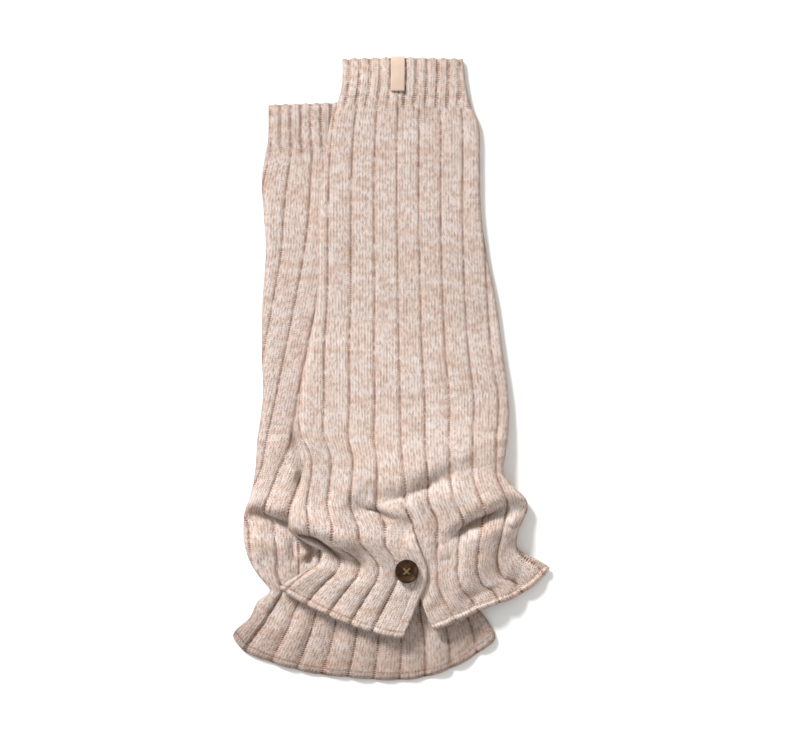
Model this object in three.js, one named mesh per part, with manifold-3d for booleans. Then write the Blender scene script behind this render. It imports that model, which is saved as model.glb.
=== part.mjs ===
// A pair of rib-knit leg warmers, lying flat with one on top of the other.
// Millimetres, +Z up, the cuffs towards +Y and the hems towards -Y.
// Each leg warmer is a flattened tube: a cuff and a body, each with a front and a back half.
import * as THREE from "three";
import Module from "manifold-3d";
import { mergeVertices } from "three/addons/utils/BufferGeometryUtils.js";

const wasm = await Module();
wasm.setup();

// Cloth and seams
const WALL = 2.3;
const SEAM_GAP = 0.3;
const RIM_BEND = 0.75;
const GROOVE_DEPTH = 1.2;
const GROOVE_HALF_WIDTH = 1.7;
const CUFF_GROOVE_DEPTH = 1.0;
const CUFF_GROOVE_HALF_WIDTH = 1.5;

// How the upper leg warmer rests on the lower one
const LOWER_RISE = 8.1;
const DRAPE_START = 1.5;
const DRAPE_ABOVE = 44;
const DRAPE_BELOW = 20;

// The layers at the slit
const BAND_WIDTH = 7.2;
const BAND_RISE = 0.5;
const FLAP_DIP = 3.4;
const HIDDEN_GAP = 2.4;
const DIP_REACH = 9.5;
const DIP_EASE = 8.5;
const BACK_DIP_FROM = -8;
const BACK_DIP_EASE = 12;
const EDGE_STOPS = [0, 0.12, 0.4, 0.95];
const FLAT_FROM = 1.25;

// Trims
const LABEL = { left: 0.5, right: 11, low: 210.5, thick: 0.7, tuck: 3.5, under: 0.78 };
const BUTTON = { x: 12.5, y: -153.5, radius: 8.9, thick: 2.6, rim: 0.8, hole: 1.25, pitch: 2.1 };
const BUTTON_SEAT = 0.9;
const THREAD_RADIUS = 0.65;

const KNIT = 0xd6c4b8;
const KNIT_SHADE = 0xc4b0a2;
const LABEL_TAN = 0xf0d6ba;
const HORN = 0x3a2a14;
const THREAD = 0xcdbba2;

function table(columns, rows) {
  const names = columns.split(" ");
  return rows.map((row) => Object.fromEntries(names.map((name, i) => [name, row[i]])));
}

// Cross-sections of the upper leg warmer, from the cuff's top edge down to the hem.
// "over" is the slit edge that lies on top, "under" the one below it; above the slit they agree.
const SECTION_COLUMNS =
  "steps leftX leftY overX overY underX underY rightX rightY ribsLeft ribsRight" +
  " bunch sagLeft sagRight height lap";
const UPPER_CUFF = table(SECTION_COLUMNS, [
  [2, -36.5, 234.5, 8, 236.5, 8, 236.5, 55, 234.5, 2.95, 3.05, 0, 0, 0, 6.6, 0],
  [2, -36.5, 222.5, 8, 223, 8, 223, 57, 222.5, 2.95, 3.15, 0, 0, 0, 7, 0],
  [2, -38, 210, 7, 210, 7, 210, 59, 210, 2.95, 3.3, 0, 0, 0, 7.2, 0],
  [1, -41, 200.5, 6, 199, 6, 199, 62, 199.5, 3, 3.5, 0, 0, 0, 7.4, 0],
]);
const UPPER_BODY = table(SECTION_COLUMNS, [
  [1, -41, 200.2, 6, 198.7, 6, 198.7, 62, 199.2, 3, 3.5, 0, 0, 0, 7.4, 0],
  [1, -46, 186, 5.5, 184.5, 5.5, 184.5, 67.5, 186, 3.15, 3.75, 0, 0, 0, 7.6, 0],
  [1, -49.5, 158.5, 5, 158.5, 5, 158.5, 68.5, 158.5, 3.2, 3.8, 0, 0, 0, 7.6, 0],
  [1, -54, 124.5, 5, 124.5, 5, 124.5, 69, 124.5, 3.4, 3.85, 0, 0, 0, 7.6, 0],
  [1, -55.5, 90, 5.5, 90, 5.5, 90, 71, 90, 3.45, 4.05, 0, 0, 0, 7.6, 0],
  [1, -56, 52, 6, 52, 6, 52, 80.5, 53, 3.45, 4.4, 0, 0, 0, 7.8, 0],
  [2, -62.5, 14, 6.5, 14, 6.5, 14, 85.5, 15, 3.65, 4.5, 0, 0, 0, 8.4, 0],
  [2, -69.5, -24, 7.5, -25.5, 7.5, -25.5, 90.5, -23, 4, 4.45, 0, 0, 0, 9.6, 0],
  [3, -71, -48.5, 8, -53, 8, -53, 90, -50, 4.15, 4.5, 0.1, 0, 0, 11.5, 0],
  [3, -65.5, -66.5, 9.5, -72, 9.5, -72, 89.5, -67.5, 4.4, 4.4, 0.2, 0, 0, 13.5, 0],
  [3, -68, -84.5, 11, -89.5, 11, -89.5, 88, -80, 4.6, 4.35, 0.3, 0, 0, 14.5, 0],
  [2, -74, -101.5, 12, -106, 12, -106, 94, -90, 4.8, 4.5, 0.3, 0, 0, 15, 0],
  [3, -77.5, -114.5, 17.5, -119.5, 17.5, -119.5, 103, -98.5, 5, 4.8, 0.2, 1, 0, 15, 0],
  [2, -75.5, -124.5, 21, -133.5, 21.5, -134, 104.5, -107, 5, 5, 0.1, 1.5, 1, 14.5, 1],
  [1, -62.5, -135, 25, -142.5, 21.5, -145.5, 101, -116, 5, 5, 0, 2.5, 1.5, 13.5, 1],
  [1, -53.5, -140, 28, -152.5, 21, -157, 96.5, -126.5, 5, 5, 0, 3, 2.5, 12.5, 1],
  [1, -55.5, -148.5, 27, -162.5, 21, -167.5, 95.5, -135.5, 5, 5, 0, 4, 3, 11.2, 1],
  [2, -66.5, -154.5, 22.5, -174.5, 24, -178, 102.5, -141, 5.1, 5.1, 0, 4.5, 4.5, 9, 0.7],
  [2, -77.5, -161.5, 16.5, -189, 28, -189, 112.5, -146.5, 5.2, 5.2, 0, 4.5, 7, 6.6, 0],
  [1, -86, -167, 9.5, -205, 33, -199.5, 120.5, -151, 5.3, 5.3, 0, 5, 9, 6.1, 0],
]);
const UPPER_SLIT_TOP = 12;
const UPPER_BACK_END = 17;

// The largest folds of the upper leg warmer. A plus rise is a ridge, a minus one a trough;
// "above" and "below" are how far it fades towards the cuff and towards the hem.
const FOLD_COLUMNS = "fromX fromY toX toY rise above below";
const UPPER_FOLDS = table(FOLD_COLUMNS, [
  [-14, -84.5, 59, -63.5, 5, 20, 8],
  [-3, -99, 49, -78.5, -6, 6, 9],
  [4.5, -109, 44, -98.5, 3, 7, 10],
  [-20, -105.5, 10.5, -122.5, -5, 7, 7],
  [-71.5, -110, -30.5, -129.5, 6, 16, 6],
  [-71.5, -132.5, -25.5, -148.5, -5, 4.5, 8],
  [54.5, -100, 97, -93, 5.5, 13, 6],
  [47, -129.5, 62, -119, -5, 5.5, 7],
  [66.5, -114.5, 99.5, -106, -6.5, 5, 6],
  [69.5, -128, 93.5, -118, 2.5, 6, 8],
  [-52, -145.5, -76, -161.5, 1.5, 6, 6],
  [-44.5, -160.5, 9, -179, 1.5, 12, 12],
  [35, -147, 47, -142.5, -1.5, 6, 8],
  [41.5, -185, 51.5, -168.5, 1, 7, 7],
  [66.5, -173, 73, -159, -1, 6, 6],
  [87, -168.5, 92.5, -149.5, 1, 6, 6],
  [-46, 101.5, 68, 107, 0.7, 14, 18],
  [-46, 38.5, 76, 29.5, -0.7, 14, 14],
  [-30.5, -12.5, 83.5, -2.5, 0.8, 16, 16],
]);

// Cross-sections of the lower leg warmer. It has no slit, so "over" and "under" agree.
const LOWER_COLUMNS =
  "steps leftX leftY seamX seamY rightX rightY ribsLeft ribsRight sagLeft sagRight height";
const LOWER_CUFF = table(LOWER_COLUMNS, [
  [1, -92.5, 199.5, -45, 201.5, -1, 201, 3.1, 2.9, 0, 0, 6.2],
  [1, -93, 183, -45, 183.5, 0.5, 183.5, 3.1, 3, 0, 0, 6.4],
  [1, -93.5, 173, -44.5, 173, 4.5, 173, 3.15, 3.1, 0, 0, 6.6],
  [1, -95, 166, -43.5, 166, 9.5, 166, 3.25, 3.3, 0, 0, 6.8],
]).map(closedSection);
const LOWER_BODY = table(LOWER_COLUMNS, [
  [1, -95, 165.7, -43.5, 165.7, 9.5, 165.7, 3.25, 3.3, 0, 0, 6.8],
  [1, -98, 143.5, -43, 143.5, 14, 143.5, 3.1, 3.5, 0, 0, 7.2],
  [1, -96.5, 116.5, -43.5, 116.5, 21, 116.5, 2.8, 3.8, 0, 0, 7.2],
  [1, -95, 90, -48, 90, 28, 90, 2.7, 4.2, 0, 0, 7.2],
  [1, -97.5, 52, -55.5, 52, 35, 52, 2.5, 5.1, 0, 0, 7.2],
  [1, -98, 14, -63.5, 14, 41, 14, 2.1, 5.9, 0, 0, 7.2],
  [1, -97.5, -24, -71, -24, 49, -24, 1.6, 6.6, 0, 0, 7.2],
  [2, -101.5, -54.5, -76, -53, 56, -54.5, 1.4, 7.2, 0, 0, 7.2],
  [2, -103, -77, -84, -75.5, 60.5, -77, 1.3, 7.8, 0, 0, 7.2],
  [2, -106.5, -96, -92, -95.5, 65, -96, 0.95, 8.3, 0, 0, 7.2],
  [2, -111, -108.5, -95.5, -107.5, 68, -106, 0.9, 8.6, 0, 0, 7.2],
  [2, -112, -119.5, -90, -118, 68, -115, 1.2, 8.7, 0, 0, 7.2],
  [2, -111.5, -132.5, -87.5, -132, 65, -126.5, 1.2, 8.8, 0, 0, 7.2],
  [1, -108, -145, -86, -145.5, 60.5, -139.5, 1.1, 8.9, 0, 1, 7.2],
  [1, -101.5, -157, -85.5, -157.5, 57, -151.5, 0.8, 9, 0, 1.5, 7.2],
  [1, -92, -169, -82, -170, 55.5, -164.5, 0.6, 9.1, 0, 3, 7.2],
  [2, -101.5, -177.5, -87.5, -179.5, 60.5, -176, 0.7, 9.4, 0, 7.5, 7.2],
  [1, -107, -189.5, -94.5, -192, 69, -186.5, 0.7, 9.6, 0, 14.5, 7.2],
  [2, -116.5, -198, -103, -203.5, 75, -195.5, 0.8, 9.7, 0, 21.5, 6.8],
  [1, -121, -204, -112, -214.5, 79.5, -206.5, 0.8, 9.8, 0, 26, 6],
]).map(closedSection);
const LOWER_BACK_END = 17;
const LOWER_FOLDS = table(FOLD_COLUMNS, [
  [-112, -98.5, -88, -101, 3.6, 14, 6],
  [-114, -115, -80, -118, -2.2, 4.5, 6],
  [-109.5, -134, -84, -136, 3.2, 9, 11],
  [-97.5, 109, -53.5, 101.5, 0.6, 12, 16],
  [-97.5, 29.5, -61, 37, -0.6, 12, 14],
  [-97.5, -31.5, -68.5, -20, 0.6, 14, 12],
]);

function closedSection(section) {
  const { seamX, seamY, ...rest } = section;
  const both = { overX: seamX, overY: seamY, underX: seamX, underY: seamY };
  return { ...rest, ...both, bunch: 0, lap: 0 };
}

const mix = (a, b, share) => a + (b - a) * share;
const limit = (value, low, high) => Math.min(Math.max(value, low), high);
const ease = (value) => {
  const share = limit(value, 0, 1);
  return share * share * (3 - 2 * share);
};

// Smooth sections between the table's rows, by cubic curves through each column.
function fineSections(stations) {
  const last = stations.length - 1;
  const columns = Object.keys(stations[0]).filter((name) => name !== "steps");
  const along = [0];
  for (let i = 1; i <= last; i++) {
    const a = stations[i - 1];
    const b = stations[i];
    along.push(along[i - 1] + Math.hypot(b.leftY - a.leftY, b.overY - a.overY));
  }
  const slope = (name, i) => {
    const before = Math.max(i - 1, 0);
    const after = Math.min(i + 1, last);
    return (stations[after][name] - stations[before][name]) / (along[after] - along[before]);
  };
  const sections = [];
  for (let i = 0; i < last; i++) {
    const length = along[i + 1] - along[i];
    for (let step = 0; step < stations[i].steps; step++) {
      const t = step / stations[i].steps;
      const section = { station: i + t };
      for (const name of columns) {
        const a = stations[i][name];
        const b = stations[i + 1][name];
        const bendA = slope(name, i) * length;
        const bendB = slope(name, i + 1) * length;
        const t2 = t * t;
        const t3 = t2 * t;
        section[name] =
          a * (2 * t3 - 3 * t2 + 1) + bendA * (t3 - 2 * t2 + t) +
          b * (3 * t2 - 2 * t3) + bendB * (t3 - t2);
      }
      sections.push(section);
    }
  }
  sections.push({ ...stations[last], station: last });
  return sections;
}

// Height that the folds add at a point seen from above.
function foldRise(folds, x, y) {
  let rise = 0;
  for (const fold of folds) {
    const dx = fold.toX - fold.fromX;
    const dy = fold.toY - fold.fromY;
    const length = Math.hypot(dx, dy);
    const along = ((x - fold.fromX) * dx + (y - fold.fromY) * dy) / length;
    const across = ((y - fold.fromY) * dx - (x - fold.fromX) * dy) / length;
    const upward = dx > 0 ? across : -across;
    const width = upward > 0 ? fold.above : fold.below;
    const overrun = Math.max(-along, along - length, 0);
    const fade = (across / width) ** 2 + (overrun / (0.6 * (fold.above + fold.below))) ** 2;
    rise += fold.rise * Math.exp(-fade);
  }
  return rise;
}

// Signed distance to a closed outline seen from above, plus inside it.
function insideDistance(outline, x, y) {
  let nearest = Infinity;
  let inside = false;
  for (let i = 0; i < outline.length; i++) {
    const [ax, ay] = outline[i];
    const [bx, by] = outline[(i + 1) % outline.length];
    const dx = bx - ax;
    const dy = by - ay;
    const share = limit(((x - ax) * dx + (y - ay) * dy) / (dx * dx + dy * dy || 1), 0, 1);
    nearest = Math.min(nearest, Math.hypot(x - ax - dx * share, y - ay - dy * share));
    if (ay > y !== by > y && x < ax + (dx * (y - ay)) / dy) inside = !inside;
  }
  return inside ? nearest : -nearest;
}

// A point seen from above at rib number s: minus left of the middle line, plus right of it.
function spotAt(section, s, inset, middle) {
  const left = s < 0 || (s === 0 && middle.side < 0);
  const share = limit(Math.abs(s) / (left ? section.ribsLeft : section.ribsRight), 0, 1);
  const edgeX = left ? section.leftX + inset : section.rightX - inset;
  const edgeY = left ? section.leftY : section.rightY;
  const bunched = left ? share + section.bunch * share * (1 - share) : share;
  const sag = (left ? section.sagLeft : section.sagRight) * 4 * share * (1 - share);
  const x = mix(middle.x, edgeX, bunched);
  return { x, y: mix(middle.y, edgeY, share) - sag, edge: left ? x - edgeX : edgeX - x };
}

// How far a side edge has rounded over, from 0 at the edge to 1 on the flat.
const roundOver = (distance, radius) =>
  Math.sqrt(1 - (1 - limit(distance / radius, 0, 1)) ** 2);

const edgeRadius = (section) => Math.max(4.5, RIM_BEND * section.height);

// The front half's outer face, without its ribs.
function frontTop(leg, section, spot) {
  const half = section.height / 2;
  const over = half + foldRise(leg.folds, spot.x, spot.y);
  return leg.base(spot.x, spot.y) + half + over * roundOver(spot.edge, edgeRadius(section));
}

function frontInside(leg, section, spot) {
  const half = section.height / 2;
  const over = half + foldRise(leg.folds, spot.x, spot.y) - WALL;
  const round = roundOver(spot.edge, edgeRadius(section) - WALL);
  return leg.base(spot.x, spot.y) + half + over * round;
}

// How far the flap that lies below dips under the flap on top of it.
function flapDip(section, x) {
  return FLAP_DIP * section.lap * ease((section.overX + DIP_REACH - x) / DIP_EASE);
}

// The middle line that a row is measured from, on one side of the slit or across both.
function middleOf(leg, section, side) {
  if (side === 0) {
    return { x: (section.overX + section.underX) / 2, y: (section.overY + section.underY) / 2, side };
  }
  if (side > 0) return { x: section.underX, y: section.underY, side };
  const band = BAND_WIDTH * ease((section.station - leg.slitTop) / 1.5);
  return { x: section.overX - band, y: section.overY, side };
}

// Rib numbers of a row's points: the edge's rounding, then each groove and the ribs' crowns.
function ribStops(leg, section, side, inset, style) {
  const { grooves, halfWidth, crowns, shown } = style;
  const middle = middleOf(leg, section, side);
  const stops = [];
  const wanted = (left) => (side === 0 ? true : left === (side < 0));
  for (const left of [true, false]) {
    if (!wanted(left)) continue;
    const sign = left ? -1 : 1;
    const reach = left ? section.ribsLeft : section.ribsRight;
    const span = Math.abs((left ? section.leftX : section.rightX) - middle.x) - inset;
    const rib = span / reach;
    const radius = edgeRadius(section) - inset;
    for (const part of EDGE_STOPS) stops.push(sign * (reach - (part * radius) / rib));
    const flat = reach - (FLAT_FROM * radius) / rib;
    for (const groove of grooves(sign)) {
      const half = halfWidth / rib;
      const cut = halfWidth > 0 && shown(section.station, groove) > 0;
      const places = cut ? [-half, 0, half] : [0];
      for (const place of crowns ? [...places, 0.5] : places) {
        const stop = groove + place;
        if (stop * sign > 0.02 && stop * sign < flat) stops.push(stop);
      }
    }
  }
  stops.push(0);
  return [...new Set(stops.map((stop) => Math.round(stop * 1e5) / 1e5))].sort((a, b) => a - b);
}

const everyRib = () => Array.from({ length: 25 }, (_, i) => i - 12);

// Depth of the nearest groove at a rib number.
function grooveDip(grooves, s, rib, style) {
  const nearest = Math.min(...grooves.map((groove) => Math.abs(s - groove)));
  return style.depth * (1 - ease((nearest * rib) / style.halfWidth));
}

function frontRow(leg, section, side, face, style) {
  const inset = face === "inside" ? WALL : 0;
  const middle = middleOf(leg, section, side);
  const halfWidth = face === "inside" ? 0 : style.halfWidth;
  const crowns = style.crownsFrom <= section.station;
  const grooves = face === "inside" && !crowns ? style.insideGrooves : style.grooves;
  const layout = { grooves, halfWidth, crowns, shown: style.shown };
  const stops = ribStops(leg, section, side, inset, layout);
  return stops.map((s) => {
    const spot = spotAt(section, s, inset, middle);
    const half = section.height / 2;
    let z = face === "inside" ? frontInside(leg, section, spot) : frontTop(leg, section, spot);
    if (side > 0) z -= flapDip(section, spot.x);
    if (face === "outside") {
      const left = s < 0;
      const reach = left ? section.ribsLeft : section.ribsRight;
      const rib = Math.abs((left ? section.leftX : section.rightX) - middle.x) / reach;
      const sign = left ? -1 : 1;
      const flat = roundOver(spot.edge, edgeRadius(section)) ** 2;
      const slitEdge = side !== 0 && s === 0;
      const dip = grooveDip(style.grooves(sign), s, rib, style);
      if (!slitEdge) z -= dip * flat * style.shown(section.station, s);
    }
    const lowest = leg.base(spot.x, spot.y) + half + SEAM_GAP / 2;
    if (spot.edge < 0.01) z = lowest;
    return { s, x: spot.x, y: spot.y, z };
  });
}

function backRow(leg, section, face) {
  const inset = face === "top" ? WALL : 0;
  const middle = middleOf(leg, section, 0);
  const crowns = section.station >= leg.crownsFrom;
  const layout = { grooves: everyRib, halfWidth: 0, crowns, shown: () => 0 };
  const stops = ribStops(leg, section, 0, inset, layout);
  const half = section.height / 2;
  return stops.map((s) => {
    const spot = spotAt(section, s, inset, middle);
    const base = leg.base(spot.x, spot.y);
    const seam = base + half - SEAM_GAP / 2;
    if (spot.edge < 0.01) return { s, x: spot.x, y: spot.y, z: seam };
    const round = roundOver(spot.edge, edgeRadius(section) - inset);
    if (face === "bottom") {
      const low = leg.underside(spot.x, spot.y);
      const bottomRound = roundOver(spot.edge, Math.min(half, 4.5));
      return { s, x: spot.x, y: spot.y, z: mix(seam, low, bottomRound) };
    }
    const thin = base + half - (half - WALL) * round;
    const dip = section.lap > 0
      ? flapDip(section, spot.x) * ease((spot.x - BACK_DIP_FROM) / BACK_DIP_EASE) : 0;
    const filled = frontInside(leg, section, spot) - HIDDEN_GAP - dip;
    return { s, x: spot.x, y: spot.y, z: Math.max(thin, filled) };
  });
}

// Joins two rows of points into triangles, each row in order of rib number.
function joinRows(faces, upper, lower, flipped) {
  let i = 0;
  let j = 0;
  while (i < upper.length - 1 || j < lower.length - 1) {
    const takeUpper =
      j === lower.length - 1 || (i < upper.length - 1 && upper[i + 1].s <= lower[j + 1].s);
    const third = takeUpper ? upper[i + 1] : lower[j + 1];
    const face = [upper[i], lower[j], third];
    faces.push(flipped ? [face[2], face[1], face[0]] : face);
    if (takeUpper) i += 1;
    else j += 1;
  }
}

const quad = (faces, a, b, c, d) => faces.push([a, b, c], [a, c, d]);

// A closed wall between an outside sheet and an inside sheet. A sheet is a list of rows, and a
// row is one run of points, or two where a slit parts it.
function wallSolid(outside, inside) {
  const faces = [];
  const parted = (rows, r) => rows[r].length > 1;
  const runs = (rows, r, next) => {
    if (rows[r].length === rows[next].length) return rows[r];
    const whole = rows[r][0];
    return [whole.filter((p) => p.s <= 0), whole.filter((p) => p.s >= 0)];
  };
  const lastRow = outside.length - 1;
  for (let r = 0; r < lastRow; r++) {
    for (const [rows, flipped] of [[outside, false], [inside, true]]) {
      const upper = runs(rows, r, r + 1);
      upper.forEach((run, k) => joinRows(faces, run, rows[r + 1][k], flipped));
    }
    const upperOut = runs(outside, r, r + 1);
    const upperIn = runs(inside, r, r + 1);
    upperOut.forEach((run, k) => {
      const lowerOut = outside[r + 1][k];
      const lowerIn = inside[r + 1][k];
      quad(faces, lowerOut[0], run[0], upperIn[k][0], lowerIn[0]);
      quad(faces, run.at(-1), lowerOut.at(-1), lowerIn.at(-1), upperIn[k].at(-1));
    });
  }
  outside[0].forEach((run, k) => joinRows(faces, inside[0][k], run, false));
  outside[lastRow].forEach((run, k) => joinRows(faces, run, inside[lastRow][k], false));
  if (parted(outside, 0)) throw new Error("a wall starts above its slit");
  return solidFrom(faces);
}

function solidFrom(faces) {
  const numbers = new Map();
  const positions = [];
  const index = [];
  for (const corner of faces.flat()) {
    if (!numbers.has(corner)) {
      numbers.set(corner, numbers.size);
      positions.push(corner.x, corner.y, corner.z);
    }
    index.push(numbers.get(corner));
  }
  const geometry = new THREE.BufferGeometry();
  geometry.setAttribute("position", new THREE.Float32BufferAttribute(positions, 3));
  geometry.setIndex(index);
  return geometry;
}

function material(color, roughness = 0.95) {
  return new THREE.MeshStandardMaterial({ color, roughness, metalness: 0 });
}

const pair = new THREE.Group();

function addPiece(name, geometry, look) {
  geometry.computeVertexNormals();
  const mesh = new THREE.Mesh(geometry, look);
  mesh.name = name;
  pair.add(mesh);
  return mesh;
}

// The outline of the lower leg warmer, which the upper one drapes over.
function outlineOf(cuff, body) {
  const sections = [...fineSections(cuff), ...fineSections(body)];
  const left = sections.map((section) => [section.leftX, section.leftY]);
  const right = sections.map((section) => [section.rightX, section.rightY]);
  const hem = sections.at(-1);
  const bottom = [];
  for (let i = 1; i < 12; i++) {
    const s = mix(-hem.ribsLeft, hem.ribsRight, i / 12);
    const spot = spotAt(hem, s, 0, { x: hem.overX, y: hem.overY, side: -1 });
    bottom.push([spot.x, spot.y]);
  }
  return [...left, ...bottom, ...right.reverse()];
}

const lowerOutline = outlineOf(LOWER_CUFF, LOWER_BODY);

// The cloth falls from the lower leg warmer to the floor in a long slope above and a short one
// below, so the hidden layer is thicker along that step.
function drapedBase(x, y, width = DRAPE_ABOVE) {
  const inside = insideDistance(lowerOutline, x, y);
  const share = ease(1 + (inside + DRAPE_START) / width);
  if (share === 0) return 0;
  return share * (LOWER_RISE + Math.max(foldRise(LOWER_FOLDS, x, y), 0));
}

// Rib styles. The cuff's narrow ribs run two to each wide rib of the body.
const cuffGroovesUpper = (sign) =>
  Array.from({ length: 6 }, (_, i) => (sign < 0 ? -0.5 - 0.525 * i : 0.76 + 0.53 * i));
const cuffGroovesEven = () => Array.from({ length: 17 }, (_, i) => (i - 8) / 2);
const everywhere = () => 1;
// The upper leg warmer lies over the lower one's right side, all but its hem.
const clearOfUpper = (station, s) => Math.max(ease(1.6 - s), ease(station - 13.5));
const wideRibs = {
  grooves: everyRib,
  insideGrooves: everyRib,
  halfWidth: GROOVE_HALF_WIDTH,
  depth: GROOVE_DEPTH,
};
const narrowRibs = {
  insideGrooves: everyRib,
  halfWidth: CUFF_GROOVE_HALF_WIDTH,
  depth: CUFF_GROOVE_DEPTH,
  crownsFrom: 99,
};

const upperLeg = {
  folds: UPPER_FOLDS,
  base: drapedBase,
  underside: (x, y) => drapedBase(x, y, DRAPE_BELOW),
  slitTop: UPPER_SLIT_TOP,
  crownsFrom: 6,
};
const lowerLeg = { folds: LOWER_FOLDS, base: () => 0, underside: () => 0, slitTop: 99, crownsFrom: 99 };

function frontWall(leg, sections, style) {
  const sheet = (face) =>
    sections.map((section) => {
      if (section.station <= leg.slitTop) return [frontRow(leg, section, 0, face, style)];
      return [frontRow(leg, section, -1, face, style), frontRow(leg, section, 1, face, style)];
    });
  return wallSolid(sheet("outside"), sheet("inside"));
}

function backWall(leg, sections) {
  const sheet = (face) => sections.map((section) => [backRow(leg, section, face)]);
  return wallSolid(sheet("top"), sheet("bottom"));
}

const upperBody = fineSections(UPPER_BODY);
const upperCuff = fineSections(UPPER_CUFF);
const lowerBody = fineSections(LOWER_BODY);
const lowerCuff = fineSections(LOWER_CUFF);
const upTo = (sections, station) => sections.filter((section) => section.station <= station);
const cuffOf = (leg) => ({ ...leg, slitTop: 99, crownsFrom: 99 });

const upperCuffStyle = { ...narrowRibs, grooves: cuffGroovesUpper, shown: everywhere };
const lowerCuffStyle = { ...narrowRibs, grooves: cuffGroovesEven, shown: clearOfUpper };
const upperStyle = { ...wideRibs, crownsFrom: upperLeg.crownsFrom, shown: everywhere };
const lowerStyle = { ...wideRibs, crownsFrom: 7, shown: clearOfUpper };

addPiece("lower_body_back", backWall(lowerLeg, upTo(lowerBody, LOWER_BACK_END)), material(KNIT_SHADE));
addPiece("lower_body_front", frontWall(lowerLeg, lowerBody, lowerStyle), material(KNIT));
addPiece("lower_cuff_back", backWall(cuffOf(lowerLeg), lowerCuff), material(KNIT_SHADE));
addPiece("lower_cuff_front", frontWall(cuffOf(lowerLeg), lowerCuff, lowerCuffStyle), material(KNIT));
addPiece("upper_body_back", backWall(upperLeg, upTo(upperBody, UPPER_BACK_END)), material(KNIT_SHADE));
addPiece("upper_body_front", frontWall(upperLeg, upperBody, upperStyle), material(KNIT));
addPiece("upper_cuff_back", backWall(cuffOf(upperLeg), upperCuff), material(KNIT_SHADE));
addPiece("upper_cuff_front", frontWall(cuffOf(upperLeg), upperCuff, upperCuffStyle), material(KNIT));

// Rings of points joined into one closed solid, with a flat end on the first and last ring.
function loft(rings) {
  const faces = [];
  const count = rings[0].length;
  for (let r = 0; r + 1 < rings.length; r++) {
    for (let i = 0; i < count; i++) {
      const next = (i + 1) % count;
      quad(faces, rings[r][i], rings[r][next], rings[r + 1][next], rings[r + 1][i]);
    }
  }
  const last = rings.at(-1);
  for (let i = 1; i + 1 < count; i++) {
    faces.push([rings[0][0], rings[0][i + 1], rings[0][i]]);
    faces.push([last[0], last[i], last[i + 1]]);
  }
  return solidFrom(faces);
}

// The placket band, along the edge of the slit's upper flap.
function placketBand(leg, sections) {
  const rings = sections.map((section) => {
    const inner = middleOf(leg, section, -1).x + SEAM_GAP;
    const outer = section.overX;
    const at = (x, lift) => {
      const spot = { x, y: section.overY, edge: x - section.leftX };
      return { x, y: section.overY, z: frontTop(leg, section, spot) + lift };
    };
    return [
      at(inner, 0.1), at(mix(inner, outer, 0.2), BAND_RISE), at(mix(inner, outer, 0.8), BAND_RISE),
      at(outer, -0.5), at(outer, 0.4 - WALL), at(inner, -WALL),
    ];
  });
  return loft(rings.reverse());
}

// The woven label, folded over the cuff's top edge and tucked into its mouth.
function wovenLabel(leg, sections) {
  const across = [0, 0.25, 0.5, 0.75, 1].map((share) => mix(LABEL.left, LABEL.right, share));
  const seat = sections.map((section) => {
    const heights = across.map((x) =>
      frontTop(leg, section, { x, y: section.overY, edge: x - section.leftX }));
    return [section.overY, Math.max(...heights) + SEAM_GAP];
  });
  const low = seat.findIndex(([y]) => y < LABEL.low);
  const share = (seat[low - 1][0] - LABEL.low) / (seat[low - 1][0] - seat[low][0]);
  const end = [LABEL.low, mix(seat[low - 1][1], seat[low][1], share)];
  const onCuff = [...seat.slice(0, low), end];
  const [brimY, brimZ] = onCuff[0];
  const under = brimZ - WALL - LABEL.under;
  const turn = brimY + SEAM_GAP;
  const thick = LABEL.thick;
  const inner = [...onCuff].reverse().concat([[turn, brimZ], [turn, under], [brimY - LABEL.tuck, under]]);
  const outer = [
    [brimY - LABEL.tuck, under - 0.7 * thick], [turn + 0.5 * thick, under - 0.7 * thick],
    [turn + thick, under - 0.2 * thick], [turn + thick, brimZ + 0.4 * thick],
    [turn + 0.4 * thick, brimZ + thick], ...onCuff.map(([y, z]) => [y, z + thick]),
  ];
  const shape = new THREE.Shape([...inner, ...outer].map(([y, z]) => new THREE.Vector2(y, z)));
  const width = LABEL.right - LABEL.left;
  const strip = new THREE.ExtrudeGeometry(shape, { depth: width, bevelEnabled: false });
  const turned = new THREE.Matrix4().set(0, 0, 1, LABEL.left, 1, 0, 0, 0, 0, 1, 0, 0, 0, 0, 0, 1);
  strip.applyMatrix4(turned);
  strip.deleteAttribute("normal");
  strip.deleteAttribute("uv");
  return mergeVertices(strip, 1e-4);
}

const toSolid = (geometry) =>
  new wasm.Manifold(new wasm.Mesh({
    numProp: 3,
    vertProperties: geometry.attributes.position.array,
    triVerts: new Uint32Array(geometry.index.array),
  }));

function fromSolid(solid) {
  const mesh = solid.getMesh();
  const geometry = new THREE.BufferGeometry();
  geometry.setAttribute("position", new THREE.BufferAttribute(mesh.vertProperties, 3));
  geometry.setIndex(new THREE.BufferAttribute(mesh.triVerts, 1));
  return geometry;
}

// Solids of revolution about an upright line, from [radius, height] pairs, bottom to top.
function turned(profile, x, y, sides) {
  const ring = ([radius, height]) =>
    Array.from({ length: sides }, (_, i) => {
      const angle = (2 * Math.PI * i) / sides;
      return { x: x + radius * Math.cos(angle), y: y + radius * Math.sin(angle), z: height };
    });
  return loft(profile.map(ring));
}

const holes = [[-1, -1], [1, -1], [1, 1], [-1, 1]];

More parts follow.
